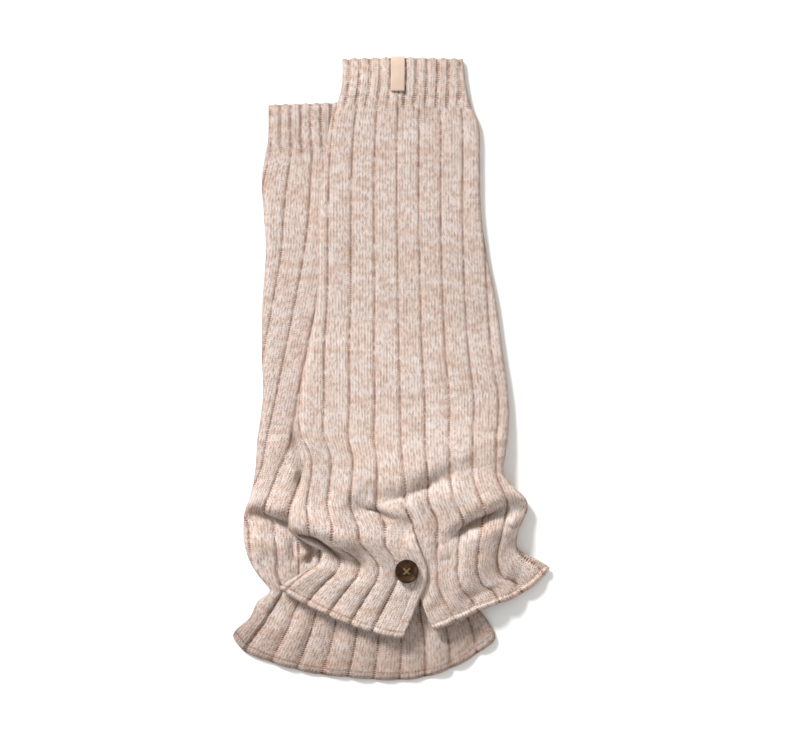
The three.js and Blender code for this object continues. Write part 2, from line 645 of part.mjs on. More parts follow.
function sewnButton() {
  const { radius, thick, rim, hole, pitch } = BUTTON;
  const dish = thick - rim;
  const profile = [
    [radius - 1, 0], [radius, 0.35 * thick], [radius, 0.75 * thick], [radius - 0.6, thick],
    [radius - 1.4, thick], [radius - 2.4, dish], [0.4 * radius, dish - 0.1],
  ];
  let solid = toSolid(turned(profile, 0, 0, 40));
  for (const [sx, sy] of holes) {
    const bore = turned([[hole, -1], [hole, thick + 1]], sx * pitch, sy * pitch, 14);
    solid = solid.subtract(toSolid(bore));
  }
  return fromSolid(solid);
}

// Two strands crossed over the button, down its holes to a pad of thread on the cloth.
function buttonThread() {
  const { thick, rim, pitch } = BUTTON;
  const top = thick - rim;
  const reach = pitch * Math.SQRT2;
  const low = 0.3 - BUTTON_SEAT;
  const arch = [
    [-reach, low + 0.1], [-reach, top - 0.4], [-0.9 * reach, top + 0.6], [-0.6 * reach, top + 0.95],
    [0, top + 1.05],
  ];
  const path = [...arch, ...arch.slice(0, -1).reverse().map(([d, z]) => [-d, z])];
  const strand = (angle) => {
    const curve = path.map(([d, z]) =>
      new THREE.Vector3(d * Math.cos(angle), d * Math.sin(angle), z));
    const sideways = new THREE.Vector3(-Math.sin(angle), Math.cos(angle), 0);
    const rings = curve.map((point, i) => {
      const before = curve[Math.max(i - 1, 0)];
      const after = curve[Math.min(i + 1, curve.length - 1)];
      const forward = after.clone().sub(before).normalize();
      const upward = new THREE.Vector3().crossVectors(forward, sideways);
      return Array.from({ length: 8 }, (_, k) => {
        const turn = (Math.PI * k) / 4;
        return point.clone()
          .addScaledVector(sideways, THREAD_RADIUS * Math.cos(turn))
          .addScaledVector(upward, THREAD_RADIUS * Math.sin(turn));
      });
    });
    return toSolid(loft(rings));
  };
  const pad = toSolid(turned([[reach + 0.9, low], [reach + 0.9, -0.3]], 0, 0, 20));
  const solid = pad.add(strand(Math.PI / 4)).add(strand(-Math.PI / 4));
  return fromSolid(solid);
}

// The slope and height of the cloth on the upper flap, where the button is sewn on.
function clothAt(y) {
  const line = upperBody.map((section) => {
    const middle = middleOf(upperLeg, section, -1);
    const share = (middle.x - BUTTON.x) / (middle.x - section.leftX);
    const spot = spotAt(section, -share * section.ribsLeft, 0, middle);
    return [spot.y, frontTop(upperLeg, section, spot)];
  });
  const next = line.findIndex(([rowY]) => rowY < y);
  const [highY, highZ] = line[next - 1];
  const [lowY, lowZ] = line[next];
  return mix(lowZ, highZ, (y - lowY) / (highY - lowY));
}

const upperSide = clothAt(BUTTON.y + 0.8 * BUTTON.radius);
const lowerSide = clothAt(BUTTON.y - 0.8 * BUTTON.radius);
const crest = Math.max(clothAt(BUTTON.y) - (upperSide + lowerSide) / 2, 0);
const buttonSeat = (upperSide + lowerSide) / 2 + crest + BUTTON_SEAT;
const buttonTilt = Math.atan((upperSide - lowerSide) / (1.6 * BUTTON.radius));

const placketRows = upperBody.filter((section) => section.station > UPPER_SLIT_TOP + 0.6);
addPiece("upper_placket", placketBand(upperLeg, placketRows), material(KNIT));
addPiece("upper_label", wovenLabel(cuffOf(upperLeg), upperCuff), material(LABEL_TAN, 0.8));
const button = addPiece("upper_button", sewnButton(), material(HORN, 0.3));
const thread = addPiece("upper_button_thread", buttonThread(), material(THREAD));
for (const piece of [button, thread]) {
  piece.position.set(BUTTON.x, BUTTON.y, buttonSeat);
  piece.rotation.x = buttonTilt;
}

// The pair stands on the floor, centred on its own outline.
const box = new THREE.Box3().setFromObject(pair);
const centre = box.getCenter(new THREE.Vector3());
pair.position.set(-centre.x, -centre.y, -box.min.z);

export default pair;
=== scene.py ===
# %% [markdown]
# Pair of rib-knit leg warmers.
# Two knitted tubes lie flat, one on the other, seen from straight above. This lesson dresses
# the CAD model: it reads the frame, sets up the studio, then makes the cloth, the label and the
# button, each with its own finish, and gives the CAD thread a finish of its own.

# %% The frame and its size
import math
from functools import partial, partialmethod
from itertools import zip_longest

import bmesh
import bpy
import numpy as np
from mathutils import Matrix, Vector


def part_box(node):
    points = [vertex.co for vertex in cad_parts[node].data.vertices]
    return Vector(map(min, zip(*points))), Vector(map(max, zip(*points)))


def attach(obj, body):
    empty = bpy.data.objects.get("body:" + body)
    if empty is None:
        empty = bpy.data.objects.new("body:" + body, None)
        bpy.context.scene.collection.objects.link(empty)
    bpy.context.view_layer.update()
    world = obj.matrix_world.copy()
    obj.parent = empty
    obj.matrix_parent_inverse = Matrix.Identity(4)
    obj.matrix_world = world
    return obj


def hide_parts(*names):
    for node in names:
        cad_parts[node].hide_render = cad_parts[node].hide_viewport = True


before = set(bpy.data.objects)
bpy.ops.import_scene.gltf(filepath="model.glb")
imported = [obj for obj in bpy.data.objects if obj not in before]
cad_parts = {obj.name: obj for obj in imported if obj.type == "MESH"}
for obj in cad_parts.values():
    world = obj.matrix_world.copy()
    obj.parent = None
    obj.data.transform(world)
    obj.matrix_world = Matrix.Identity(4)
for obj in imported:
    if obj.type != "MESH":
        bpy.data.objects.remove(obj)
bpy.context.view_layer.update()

MM = 0.001
# The middle of the tables below lies here in the frame, in millimetres.
SHIFT = (0.25, -0.423)

# %% [markdown]
# The camera looks straight down, as the photographer's did. A long lens keeps the folds that
# stand higher from looking wider. The photograph is 785 by 742 pixels at 0.76 mm a pixel.

# %% The camera
PHOTO_WIDTH = 785
PHOTO_HEIGHT = 742
PHOTO_CENTRE = (390.25, 368.5)
PIXEL = 0.76 * MM
LENS = 180
SENSOR = 36
CLOTH_LEVEL = 0.012

camera_data = bpy.data.cameras.new("photo_camera")
camera_data.lens = LENS
camera_data.sensor_width = SENSOR
camera = bpy.data.objects.new("photo_camera", camera_data)
bpy.context.scene.collection.objects.link(camera)
camera_x = (PHOTO_WIDTH / 2 - PHOTO_CENTRE[0]) * PIXEL + SHIFT[0] * MM
camera_y = (PHOTO_CENTRE[1] - PHOTO_HEIGHT / 2) * PIXEL + SHIFT[1] * MM
camera_z = LENS / SENSOR * PHOTO_WIDTH * PIXEL + CLOTH_LEVEL
camera.location = (camera_x, camera_y, camera_z)
bpy.context.scene.camera = camera
print("camera height", round(camera.location.z, 3))

# %% [markdown]
# The studio is a white floor under one broad light from the upper left, with a bright sky all
# round. The broad light gives the soft grey rim of shadow to the right of the cloth and below.

# %% The floor and the sky
FLOOR_SIZE = 6
FLOOR_LEVEL = -0.0003
FLOOR_WHITE = (0.97, 0.98, 0.97, 1)
FLOOR_ROUGHNESS = 0.9
SKY_WHITE = (1, 0.98, 0.955, 1)
SKY_STRENGTH = 0.67

bpy.context.scene.view_settings.view_transform = "Standard"
bpy.ops.mesh.primitive_plane_add(size=FLOOR_SIZE, location=(0, 0, FLOOR_LEVEL))
floor = bpy.context.object
floor.name = "studio_floor"
floor_paint = bpy.data.materials.new("floor_paint")
floor_paint.use_nodes = True
floor_shader = floor_paint.node_tree.nodes["Principled BSDF"]
floor_shader.inputs["Base Color"].default_value = FLOOR_WHITE
floor_shader.inputs["Roughness"].default_value = FLOOR_ROUGHNESS
floor.data.materials.append(floor_paint)

world = bpy.data.worlds.new("studio_sky")
bpy.context.scene.world = world
world.use_nodes = True
sky = world.node_tree.nodes["Background"]
sky.inputs["Color"].default_value = SKY_WHITE
sky.inputs["Strength"].default_value = SKY_STRENGTH
print("floor", floor.name, "sky strength", SKY_STRENGTH)

# %% The broad light
SUN_DIRECTION = (0.44, -0.62, -0.49)
SUN_STRENGTH = 5.05
SUN_SPREAD = 15

sun_lamp = bpy.data.lights.new("window_light", "SUN")
sun_lamp.energy = SUN_STRENGTH
sun_lamp.angle = math.radians(SUN_SPREAD)
sun = bpy.data.objects.new("window_light", sun_lamp)
sun.rotation_euler = Vector(SUN_DIRECTION).to_track_quat("-Z", "Y").to_euler()
bpy.context.scene.collection.objects.link(sun)
print("light", sun.name)

# %% [markdown]
# The cloth follows the short tables that shape the CAD solids. A row is one cross-section,
# from the cuff down to the hem, in millimetres. Smooth curves run through each column.

# %% Readers for the tables
def rows_of(text):
    """The rows of a block of text, as lists of numbers."""
    return [[float(word) for word in line.split()] for line in text.strip().splitlines()]


def sections_of(text):
    """The named columns of a table; numbers left out at the end of a row are zero."""
    names, *rows = [line.split() for line in text.strip().splitlines()]
    columns = zip_longest(*rows, fillvalue="0")
    table = {name: np.array(column, float) for name, column in zip(names, columns)}
    for name in ("bunch", "sagLeft", "lap"):
        table.setdefault(name, np.zeros(len(rows)))
    table.setdefault("underX", table["overX"])
    table.setdefault("underY", table["overY"])
    return table


print("table readers ready")

# %% The sections of the upper leg warmer
UPPER = sections_of("""
leftX leftY overX overY underX underY rightX rightY ribsLeft ribsRight height bunch sagLeft sagRight lap
-36.8 235.6 8 237 8 237 55.5 235.8 2.95 3.05 6.6
-36.5 222.5 8 223 8 223 57 222.5 2.95 3.15 7
-38 210 7 210 7 210 59 210 2.95 3.3 7.2
-41 200.5 6 199 6 199 62 199.5 3 3.5 7.4
-46 186 5.5 184.5 5.5 184.5 67.5 186 3.15 3.75 7.6
-49.5 158.5 5 158.5 5 158.5 68.5 158.5 3.2 3.8 7.6
-54 124.5 5 124.5 5 124.5 69 124.5 3.4 3.85 7.6
-55.5 90 5.5 90 5.5 90 73 90 3.45 4.05 7.6
-56 52 6 52 6 52 80.5 53 3.45 4.4 7.8
-62.5 14 6.5 14 6.5 14 85.5 15 3.65 4.5 8.4
-69.5 -24 7.5 -25.5 7.5 -25.5 90.5 -23 4 4.45 9.6
-71 -48.5 8 -53 8 -53 90 -50 4.15 4.5 11.5 0.1
-65.5 -66.5 9.5 -72 9.5 -72 87.5 -67.5 4.4 4.4 13.5 0.2
-68 -84.5 11 -89.5 11 -89.5 86.5 -80 4.6 4.35 14.5 0.3
-74 -101.5 12 -106 12 -106 94 -90 4.8 4.5 15 0.3
-77.5 -114.5 17.5 -119.5 17.5 -119.5 103 -98.5 5 4.8 15 0.2 1
-75.5 -124.5 21 -133.5 21.5 -134 104.5 -107 5 5 14.5 0.1 1.5 1 1
-62.5 -135 25 -142.5 21.5 -145.5 101 -116 5 5 13.5 0 2.5 1.5 1
-53.5 -140 28 -152.5 21 -157 97 -126.5 5 5 12.5 0 3 2.5 1
-55.5 -148.5 27 -162.5 21 -167.5 96.5 -135.5 5 5 11.2 0 4 3 1
-66.5 -154.5 22.5 -174.5 24 -178 102.5 -141 5.1 5.1 9 0 4.5 4.5 0.7
-77.5 -161.5 16.5 -189 28 -189 114 -146.5 5.2 5.2 6.6 0 4.5 2.6
-86 -167 9.5 -205 33 -199.5 123 -152.5 5.3 5.3 6.1 0 5 3.3
""")
# The rows where the cuff ends, the slit starts and the back layer ends.
CUFF_END = 3
SLIT_TOP = 15
BACK_END = 20
print("upper sections", len(UPPER["height"]))

# %% The sections of the lower leg warmer
LOWER = sections_of("""
leftX leftY overX overY rightX rightY ribsLeft ribsRight height sagRight
-93 200.8 -45 202.4 -1 202 3.1 2.9 6.2
-93 183 -45 183.5 0.5 183.5 3.1 3 6.4
-93.5 173 -44.5 173 4.5 173 3.15 3.1 6.6
-95 166 -43.5 166 9.5 166 3.25 3.3 6.8
-98 143.5 -43 143.5 14 143.5 3.1 3.5 7.2
-96.5 116.5 -43.5 116.5 21 116.5 2.8 3.8 7.2
-95 90 -48 90 28 90 2.7 4.2 7.2
-97.5 52 -55.5 52 35 52 2.5 5.1 7.2
-98 14 -63.5 14 41 14 2.1 5.9 7.2
-97.5 -24 -71 -24 49 -24 1.6 6.6 7.2
-101.5 -54.5 -76 -53 56 -54.5 1.4 7.2 7.2
-103 -77 -84 -75.5 60.5 -77 1.3 7.8 7.2
-106.5 -96 -92 -95.5 65 -96 0.95 8.3 7.2
-111 -108.5 -95.5 -107.5 68 -106 0.9 8.6 7.2
-112 -119.5 -90 -118 68 -115 1.2 8.7 7.2
-111.5 -132.5 -87.5 -132 65 -126.5 1.2 8.8 7.2
-108 -145 -86 -145.5 60.5 -139.5 1.1 8.9 7.2 1
-101.5 -157 -85.5 -157.5 57 -151.5 0.8 9 7.2 1.5
-92 -169 -82 -170 55.5 -164.5 0.6 9.1 7 3
-101.5 -177.5 -87.5 -179.5 60.5 -176 0.7 9.4 6.3 7.5
-107 -189.5 -94.5 -192 70 -186.5 0.7 9.6 5.4 13.3
-116.5 -198 -103 -203.5 76.5 -195.5 0.8 9.7 4.8 19.7
-121.5 -204.5 -111.5 -216.2 81.5 -206.5 0.8 9.8 4.4 24
""")
print("lower sections", len(LOWER["height"]))

# %% [markdown]
# Folds are soft, uneven ridges and troughs. Each runs from one point to another, and fades
# towards the cuff and towards the hem at its own rate. The large ones are in the CAD solids
# too. Tucks are the sharp creases between them: the cloth slides into a tuck from both sides,
# and the side towards the cuff may lean over it.

# %% The folds
# Each row: from x and y, to x and y, rise, width towards the cuff, width towards the hem.
UPPER_FOLDS = rows_of("""
-14 -84.5 59 -63.5 2.5 20 9
28 -88 54 -77 -1.6 7 9
4.5 -109 44 -98.5 1.5 9 12
-20 -105.5 10.5 -122.5 -3.5 8 8
-71.5 -110 -30.5 -129.5 5.5 16 6
-71.5 -132.5 -25.5 -148.5 -5 4.5 8
54.5 -100 97 -93 3 13 7
47 -129.5 62 -119 -4 6 8
66.5 -114.5 99.5 -106 -4 6 7
69.5 -128 93.5 -118 2.5 6 8
-50 -140 -77 -163 4.5 7 7
-44.5 -160.5 9 -179 1.5 12 12
35 -147 47 -142.5 -1.5 6 8
41.5 -185 51.5 -168.5 1.6 7 7
66.5 -173 73 -159 -1.5 6 6
87 -168.5 92.5 -149.5 1.5 6 6
-60 -84 -50 -112 -1.6 6 6
-34 -96 -20 -78 1.4 9 7
-44 -116 -33 -100 1.3 7 8
6 -132 14 -118 -1.5 6 7
-6 -150 -14 -132 1.3 7 7
33 -108 37 -134 -1.7 5 6
48 -100 52 -84 1.2 7 7
44 -150 38 -186 -1.2 6 7
76 -134 84 -158 -1.3 6 7
97 -142 104 -156 1.3 6 6
-46 101.5 68 107 0.7 14 18
-46 38.5 76 29.5 -0.7 14 14
-30.5 -12.5 83.5 -2.5 0.8 16 16
""")
LOWER_FOLDS = rows_of("""
-112 -98.5 -84 -103 4.5 14 6
-104 -112 -84 -115 -2.5 5 6
-109.5 -134 -84 -136 3.2 9 11
-102 -212.5 -90 -198.5 1.2 7 7
-55 -227.5 -52 -206.5 -0.9 8 8
-27 -230.5 -29 -210 1.1 9 9
10.5 -230.5 6 -210 -0.9 9 9
42.5 -224.5 36.5 -206.5 1.1 8 8
-84 -182 -92 -206 -1.7 5 6
-72 -200 -78 -226 1.5 6 6
22 -206 26 -232 -1.4 6 6
56 -200 62 -214 -1.5 5 6
-97 -118 -101 -142 1.6 6 6
-86 -58 -90 -92 1.5 6 7
-97.5 109 -53.5 101.5 0.6 12 16
-97.5 29.5 -61 37 -0.6 12 14
-97.5 -31.5 -68.5 -20 0.6 14 12
""")
print("folds", len(UPPER_FOLDS) + len(LOWER_FOLDS))

# %% The tucks
# Each row: depth, reach, lean towards the hem, and x and y of points along the crease.
UPPER_TUCKS = rows_of("""
3 11 0 -20 -103.5 -6 -100.5 10 -97 24 -91.5 37 -85 52 -76
1.4 3.5 0 49 -59 49 -66.5 50.5 -75.5
3.4 5.5 1 -29 -100.5 -20.5 -106 -11 -107.5 0.5 -113.5 13.5 -116.5
9 7.5 2.6 44 -129 53 -122.5 62 -115.5 74.5 -110.5 85 -106 92 -101
2.2 3.5 0 85.5 -117.5 92.5 -120.5 99.5 -116.5
14 9 3.2 -81 -121 -69.5 -125.5 -56 -128 -43 -137.5 -32 -148
1 6 0.5 63.5 -49 76 -48.5 87 -43.5
1.2 5 0 -46 -84.5 -39.5 -94 -36.5 -104.5
1.4 4 0 -22 -149.5 -17 -154 -11 -157
1.2 5 0 19.5 -97 25.5 -105.5 28.5 -115
1.5 5 0 35 -147 42.5 -145 49 -141
""")
LOWER_TUCKS = rows_of("""
10 9 2.5 -112 -110 -101 -110 -91 -112.5 -80 -117 -62 -127
8.5 7 0 -73 -44 -71.5 -60 -68 -76 -70.5 -95
5 4.5 0 -76 -129 -74.5 -139.5 -73 -151
7 7 0 -66 -128.5 -60 -138 -63 -152
1.8 4 0 -96.5 -187.5 -91.5 -184.5 -86 -179
1.8 4 0 -81 -176 -78.5 -186 -77 -198.5
1.4 4 0 -100.5 -145.5 -96.5 -153 -93 -159
""")
print("tucks", len(UPPER_TUCKS) + len(LOWER_TUCKS))

# %% Helpers for smooth shapes
TINY = 1e-9


def mix(a, b, share):
    return a + (b - a) * share


def ease(value):
    """From 0 to 1, with a soft start and a soft end."""
    share = np.clip(value, 0, 1)
    return share * share * (3 - 2 * share)


def bell(distance, width):
    """1 in the middle, fading to nothing about two widths away."""
    return np.exp(-((distance / width) ** 2))


def round_over(distance, radius):
    """0 at an edge, rising like a quarter circle to 1 at the radius."""
    return np.sqrt(1 - (1 - np.clip(distance / radius, 0, 1)) ** 2)


def fine_sections(table, spacing):
    """Sections at an even spacing, by a cubic curve through each column."""
    lengths = np.hypot(np.diff(table["leftY"]), np.diff(table["overY"]))
    along = np.concatenate([[0], np.cumsum(lengths)])
    last = len(along) - 1
    stations = []
    for i, length in enumerate(lengths):
        count = max(1, round(length / math.sqrt(2) / spacing))
        stations += [i + step / count for step in range(count)]
    stations = np.array(stations + [last])
    start = np.minimum(stations.astype(int), last - 1)
    t = stations - start
    fine = {"station": stations}
    before = np.maximum(np.arange(last + 1) - 1, 0)
    after = np.minimum(np.arange(last + 1) + 1, last)
    for name, column in table.items():
        slope = (column[after] - column[before]) / (along[after] - along[before])
        rise_a, rise_b = slope[start] * lengths[start], slope[start + 1] * lengths[start]
        bend = rise_a * t * (1 - t) ** 2 - rise_b * t**2 * (1 - t)
        fine[name] = mix(column[start], column[start + 1], ease(t)) + bend
    return fine


print("helpers ready")

# %% Helpers for folds and tucks
FOLD_END = 0.6
TUCK_END = 0.4
CURVE_PIECES = 6
# The places and widths of a tuck's sink, lean and swell are counted in its reach.
TUCK_PULL = 0.4
SINK_WIDTH = 0.5
LEAN_AT = 0.6
LEAN_WIDTH = 0.55
SWELL = 0.4
SWELL_AT = 1.1
SWELL_WIDTH = 0.7


def fold_rise(folds, x, y):
    rise = np.zeros_like(x)
    for from_x, from_y, to_x, to_y, height, above, below in folds:
        dx, dy = to_x - from_x, to_y - from_y
        length = math.hypot(dx, dy)
        along = ((x - from_x) * dx + (y - from_y) * dy) / length
        across = ((y - from_y) * dx - (x - from_x) * dy) / length * (1 if dx > 0 else -1)
        overrun = np.maximum(np.maximum(-along, along - length), 0)
        width = np.where(across > 0, above, below)
        rise += height * bell(across, width) * bell(overrun, FOLD_END * (above + below))
    return rise


def curve_through(points):
    """A smooth curve through a few points."""
    ends = np.array([points[0], *points, points[-1]])
    t = np.linspace(0, 1, CURVE_PIECES, endpoint=False)[:, None]
    curve = []
    for a, b, c, d in zip(ends, ends[1:], ends[2:], ends[3:]):
        bend = 2 * a - 5 * b + 4 * c - d
        twist = 3 * (b - c) + d - a
        curve.append(b + 0.5 * t * (c - a + t * (bend + t * twist)))
    return np.concatenate(curve + [ends[-1:]])


def curve_place(points, x, y):
    """Where points lie by a curve: across it, towards the cuff, and along it from 0 to 1."""
    curve = curve_through(points)
    run = np.concatenate([[0], np.cumsum(np.hypot(*np.diff(curve, axis=0).T))])
    nearest = np.full(x.shape, np.inf)
    across, along, normal = np.zeros_like(x), np.zeros_like(x), np.zeros((2, *x.shape))
    for (ax, ay), (bx, by), start, end in zip(curve, curve[1:], run, run[1:]):
        dx, dy = (bx - ax) / (end - start), (by - ay) / (end - start)
        up = 1 if dx >= 0 else -1
        reach = np.clip((x - ax) * dx + (y - ay) * dy, 0, end - start)
        away_x, away_y = x - ax - reach * dx, y - ay - reach * dy
        away = np.hypot(away_x, away_y)
        closer = away < nearest
        side = np.sign(away_y * dx - away_x * dy) * up
        nearest[closer] = away[closer]
        across[closer] = (away * side)[closer]
        along[closer] = ((start + reach) / run[-1])[closer]
        normal[:, closer] = [[-dy * up], [dx * up]]
    return across, along, normal


def tucked(tucks, x, y):
    """The cloth near a tuck slides towards it, sinks in it and swells above it."""
    moved_x, moved_y, sink = x.copy(), y.copy(), np.zeros_like(x)
    for depth, reach, lean, *points in tucks:
        across, along, normal = curve_place(np.reshape(points, (-1, 2)), x, y)
        fade = ease(along / TUCK_END) * ease((1 - along) / TUCK_END)
        slide = -TUCK_PULL * across * bell(across, reach)
        slide -= lean * bell(across - LEAN_AT * reach, LEAN_WIDTH * reach)
        moved_x += slide * fade * normal[0]
        moved_y += slide * fade * normal[1]
        swell = SWELL * bell(across - SWELL_AT * reach, SWELL_WIDTH * reach)
        sink += depth * fade * (bell(across, SINK_WIDTH * reach) - swell)
    return moved_x, moved_y, sink


print("fold helpers ready")

# %% The step from the lower leg warmer down to the floor
HEM_FULL_FROM = 0.35
HEM_FULL_OVER = 0.6
LOWER_HEM_LEAN = 0.51
OUTLINE_SPACING = 9
OUTLINE_HEM_POINTS = 11
DRAPE_START = 1.5
LOWER_RISE = 8.1


def sag_shape(part, lean):
    """How far a hem hangs between its ends; a lean makes it fuller towards the side fold."""
    return 4 * part * (1 - part) * (1 + lean * ease((part - HEM_FULL_FROM) / HEM_FULL_OVER))


def outline_of(table):
    """A tube's outline: down its left side, along its hem and up its right side."""
    hem = {name: column[-1] for name, column in table.items()}
    share = np.linspace(-hem["ribsLeft"], hem["ribsRight"], OUTLINE_HEM_POINTS + 2)[1:-1]
    on_left = share < 0
    part = np.abs(share) / np.where(on_left, hem["ribsLeft"], hem["ribsRight"])
    lean = np.where(on_left, 0, LOWER_HEM_LEAN)
    sag = np.where(on_left, hem["sagLeft"], hem["sagRight"]) * sag_shape(part, lean)
    x = mix(hem["overX"], np.where(on_left, hem["leftX"], hem["rightX"]), part)
    y = mix(hem["overY"], np.where(on_left, hem["leftY"], hem["rightY"]), part) - sag
    left = np.stack([table["leftX"], table["leftY"]], 1)
    right = np.stack([table["rightX"], table["rightY"]], 1)
    return np.concatenate([left, np.stack([x, y], 1), right[::-1]])


def inside_distance(outline, x, y):
    """How far points lie inside an outline, negative outside it."""
    nearest = np.full(x.shape, np.inf)
    inside = np.zeros(x.shape, bool)
    for (ax, ay), (bx, by) in zip(outline, np.roll(outline, -1, axis=0)):
        dx, dy = bx - ax, by - ay
        share = np.clip(((x - ax) * dx + (y - ay) * dy) / (dx * dx + dy * dy + TINY), 0, 1)
        nearest = np.minimum(nearest, np.hypot(x - ax - dx * share, y - ay - dy * share))
        if ay != by:
            inside ^= ((ay > y) != (by > y)) & (x < ax + dx * (y - ay) / dy)
    return np.where(inside, nearest, -nearest)


lower_outline = outline_of(fine_sections(LOWER, OUTLINE_SPACING))


def draped(x, y, width):
    """The lower one's top, easing down to the floor over a width past its side."""
    share = ease(1 + (inside_distance(lower_outline, x, y) + DRAPE_START) / width)
    return share * (LOWER_RISE + np.maximum(fold_rise(LOWER_FOLDS, x, y), 0))


print("outline points", len(lower_outline))

# %% [markdown]
# Each tube is a grid. Down the tube there is a row every 2 mm; across it the columns crowd
# at the side folds, where the cloth turns under. The grid carries its own map, counted in
# stitches: one unit across is one wale and one unit down is one course, so the knit pattern
# bends with the folds and fans out at the hem. Cloth simulation never makes these very folds,
# so they are placed one by one from the photograph.

# %% The grid's spacing and the small unevenness
ROW_SPACING = 2.0
COLUMNS = 74
BACK_COLUMNS = 26
WALES_PER_RIB = 8
COURSE = 1.75
# Columns near the side fold, in millimetres from it, and the gap to the even ones.
EDGE_STEPS = (0, 0.15, 0.45, 0.9, 1.5, 2.3, 3.3, 4.5, 6)
EDGE_GAP = 1
RIPPLE_COUNT = 14
RIPPLE_SHORTEST = 9
RIPPLE_LONGEST = 38
RIPPLE_PHASES = 6.3
RIPPLE_HEIGHT = 0.11
soft_random = np.random.default_rng(7)
RIPPLES = [
    (
        soft_random.uniform(RIPPLE_SHORTEST, RIPPLE_LONGEST),
        soft_random.uniform(0, math.pi),
        soft_random.uniform(0, RIPPLE_PHASES),
    )
    for _ in range(RIPPLE_COUNT)
]


def ripple(x, y):
    """The small unevenness of hand-laid cloth, as a sum of long waves."""
    total = np.zeros_like(x)
    for length, angle, phase in RIPPLES:
        along = x * math.cos(angle) + y * math.sin(angle)
        total += np.sin(2 * math.pi * along / length + phase) * length / RIPPLE_LONGEST
    return total * RIPPLE_HEIGHT


print("columns across a tube", 2 * COLUMNS)

# %% Points of a tube as seen from above
BAND_WIDTH = 7.2
BAND_GROWS = 1.5
LAP = 3
LAP_ROWS = 3


def band_width(station):
    """The band beside the slit widens from nothing at its top."""
    return BAND_WIDTH * ease((station - SLIT_TOP) / BAND_GROWS)


def middle_of(leg, table, half):
    """Where each half starts: at the slit's edge, or at the middle where there is no slit."""
    past = table["station"] - SLIT_TOP
    if half > 0:
        under = LAP * ease(past) * ease(LAP_ROWS - past)
        return table["underX"] - under * leg["slit"], table["underY"]
    return table["overX"] - band_width(table["station"]) * leg["slit"], table["overY"]


def spots(leg, table, half, columns, middle):
    """Points for one half of the width, from the middle out to the side fold."""
    left = half < 0
    side = "Left" if left else "Right"
    edge_x, edge_y = table[side.lower() + "X"][:, None], table[side.lower() + "Y"][:, None]
    reach, sag = table["ribs" + side][:, None], table["sag" + side][:, None]
    middle_x, middle_y = middle[0][:, None], middle[1][:, None]
    span = np.abs(edge_x - middle_x)
    steps = np.array(EDGE_STEPS[::-1] if columns > BACK_COLUMNS else EDGE_STEPS[::-2])
    inner = np.linspace(0, 1, columns - len(steps), endpoint=False)[None, :]
    inner = inner * (1 - (steps[0] + EDGE_GAP) / span)
    share = np.concatenate([inner, 1 - steps[None, :] / span], axis=1)
    bunched = share + (table["bunch"][:, None] * share * (1 - share) if left else 0)
    x = mix(middle_x, edge_x, bunched)
    y = mix(middle_y, edge_y, share) - sag * sag_shape(share, 0 if left else leg["hem_lean"])
    return {"x": x, "y": y, "s": share * reach * half, "edge": np.abs(edge_x - x)}


print("points ready")

# %% The ribs
GROOVE_HALF = 0.17
CUFF_GROOVE_HALF = 0.3
CUFF_GROOVE = 0.5
CUFF_CROWN = 0.45
CUFF_FADE_FROM = 0.1
CUFF_FADE_OVER = 0.35
# The body's ribs are deeper where the cloth gathers and where it flares.
BODY_RELIEF = 0.4
GATHER_ROW = 10
GATHER_GROOVE = 0.8
GATHER_CROWN = 0.5
FLARE_ROW = 17
FLARE_CROWN = 0.8
DEEPEN_ROWS = 3
# Beside the slit the band takes the first groove's place.
SLIT_FADE_ROWS = 0.8
SLIT_PLAIN = 0.3
SLIT_PLAIN_FADE = 0.15


def rib_relief(place, groove_half, depth, crown):
    """Height across ribs one unit apart: round crowns with a groove at each whole number."""
    away = np.abs(place - np.round(place))
    return crown * np.sin(math.pi * away) - crown - depth * (1 - ease(away / groove_half))


def cuff_share(table, s):
    """1 on the cuff and 0 on the body, with a slightly uneven border between them."""
    station = table["station"][:, None] + 0.05 * np.sin(5 * s) + 0.04 * np.sin(11.7 * s)
    return 1 - ease((station - CUFF_END + CUFF_FADE_FROM) / CUFF_FADE_OVER)


def front_ribs(leg, grid, station):
    by_slit = leg["slit"] * ease((station - SLIT_TOP) / SLIT_FADE_ROWS)
    plain = 1 - ease((np.abs(grid["s"]) - SLIT_PLAIN) / SLIT_PLAIN_FADE)
    grid["shown"] = 1 - by_slit * plain
    gathered = ease((station - GATHER_ROW) / DEEPEN_ROWS)
    flared = ease((station - FLARE_ROW) / DEEPEN_ROWS) * leg["flare_relief"]
    groove = (BODY_RELIEF + GATHER_GROOVE * gathered + flared) * grid["shown"]
    crown = BODY_RELIEF + GATHER_CROWN * gathered + FLARE_CROWN * flared
    wide = rib_relief(grid["s"], GROOVE_HALF, groove, crown)
    narrow = rib_relief(grid["cuff_place"], CUFF_GROOVE_HALF, CUFF_GROOVE, CUFF_CROWN)
    return mix(wide, narrow, grid["cuff"])


print("body rib relief", rib_relief(np.array([0, 0.25, 0.5]), GROOVE_HALF, 1, 1).round(2))

# %% The hem and the cuff's top edge
HEM_CORNER = 4.5
HEM_ROLL = 4.4
HEM_BEAD = 1.7
HEM_BEAD_POWER = 0.7
HEM_LINE = 5.6
HEM_LINE_WIDTH = 0.9
HEM_LINE_DEPTH = 1.2
HEM_LIP = 1.6
HEM_LIP_DROP = 2.2
SCALLOP_ROWS = 0.5
PINCH_HALF = 0.3
PINCH_REACH = 7
EDGE_WAVE = 0.55


def down_to_hem(grid):
    """How far each point is from the hem, measured down its own column."""
    step = np.hypot(np.diff(grid["x"], axis=0), np.diff(grid["y"], axis=0))
    return np.concatenate([np.cumsum(step[::-1], axis=0)[::-1], np.zeros((1, step.shape[1]))])


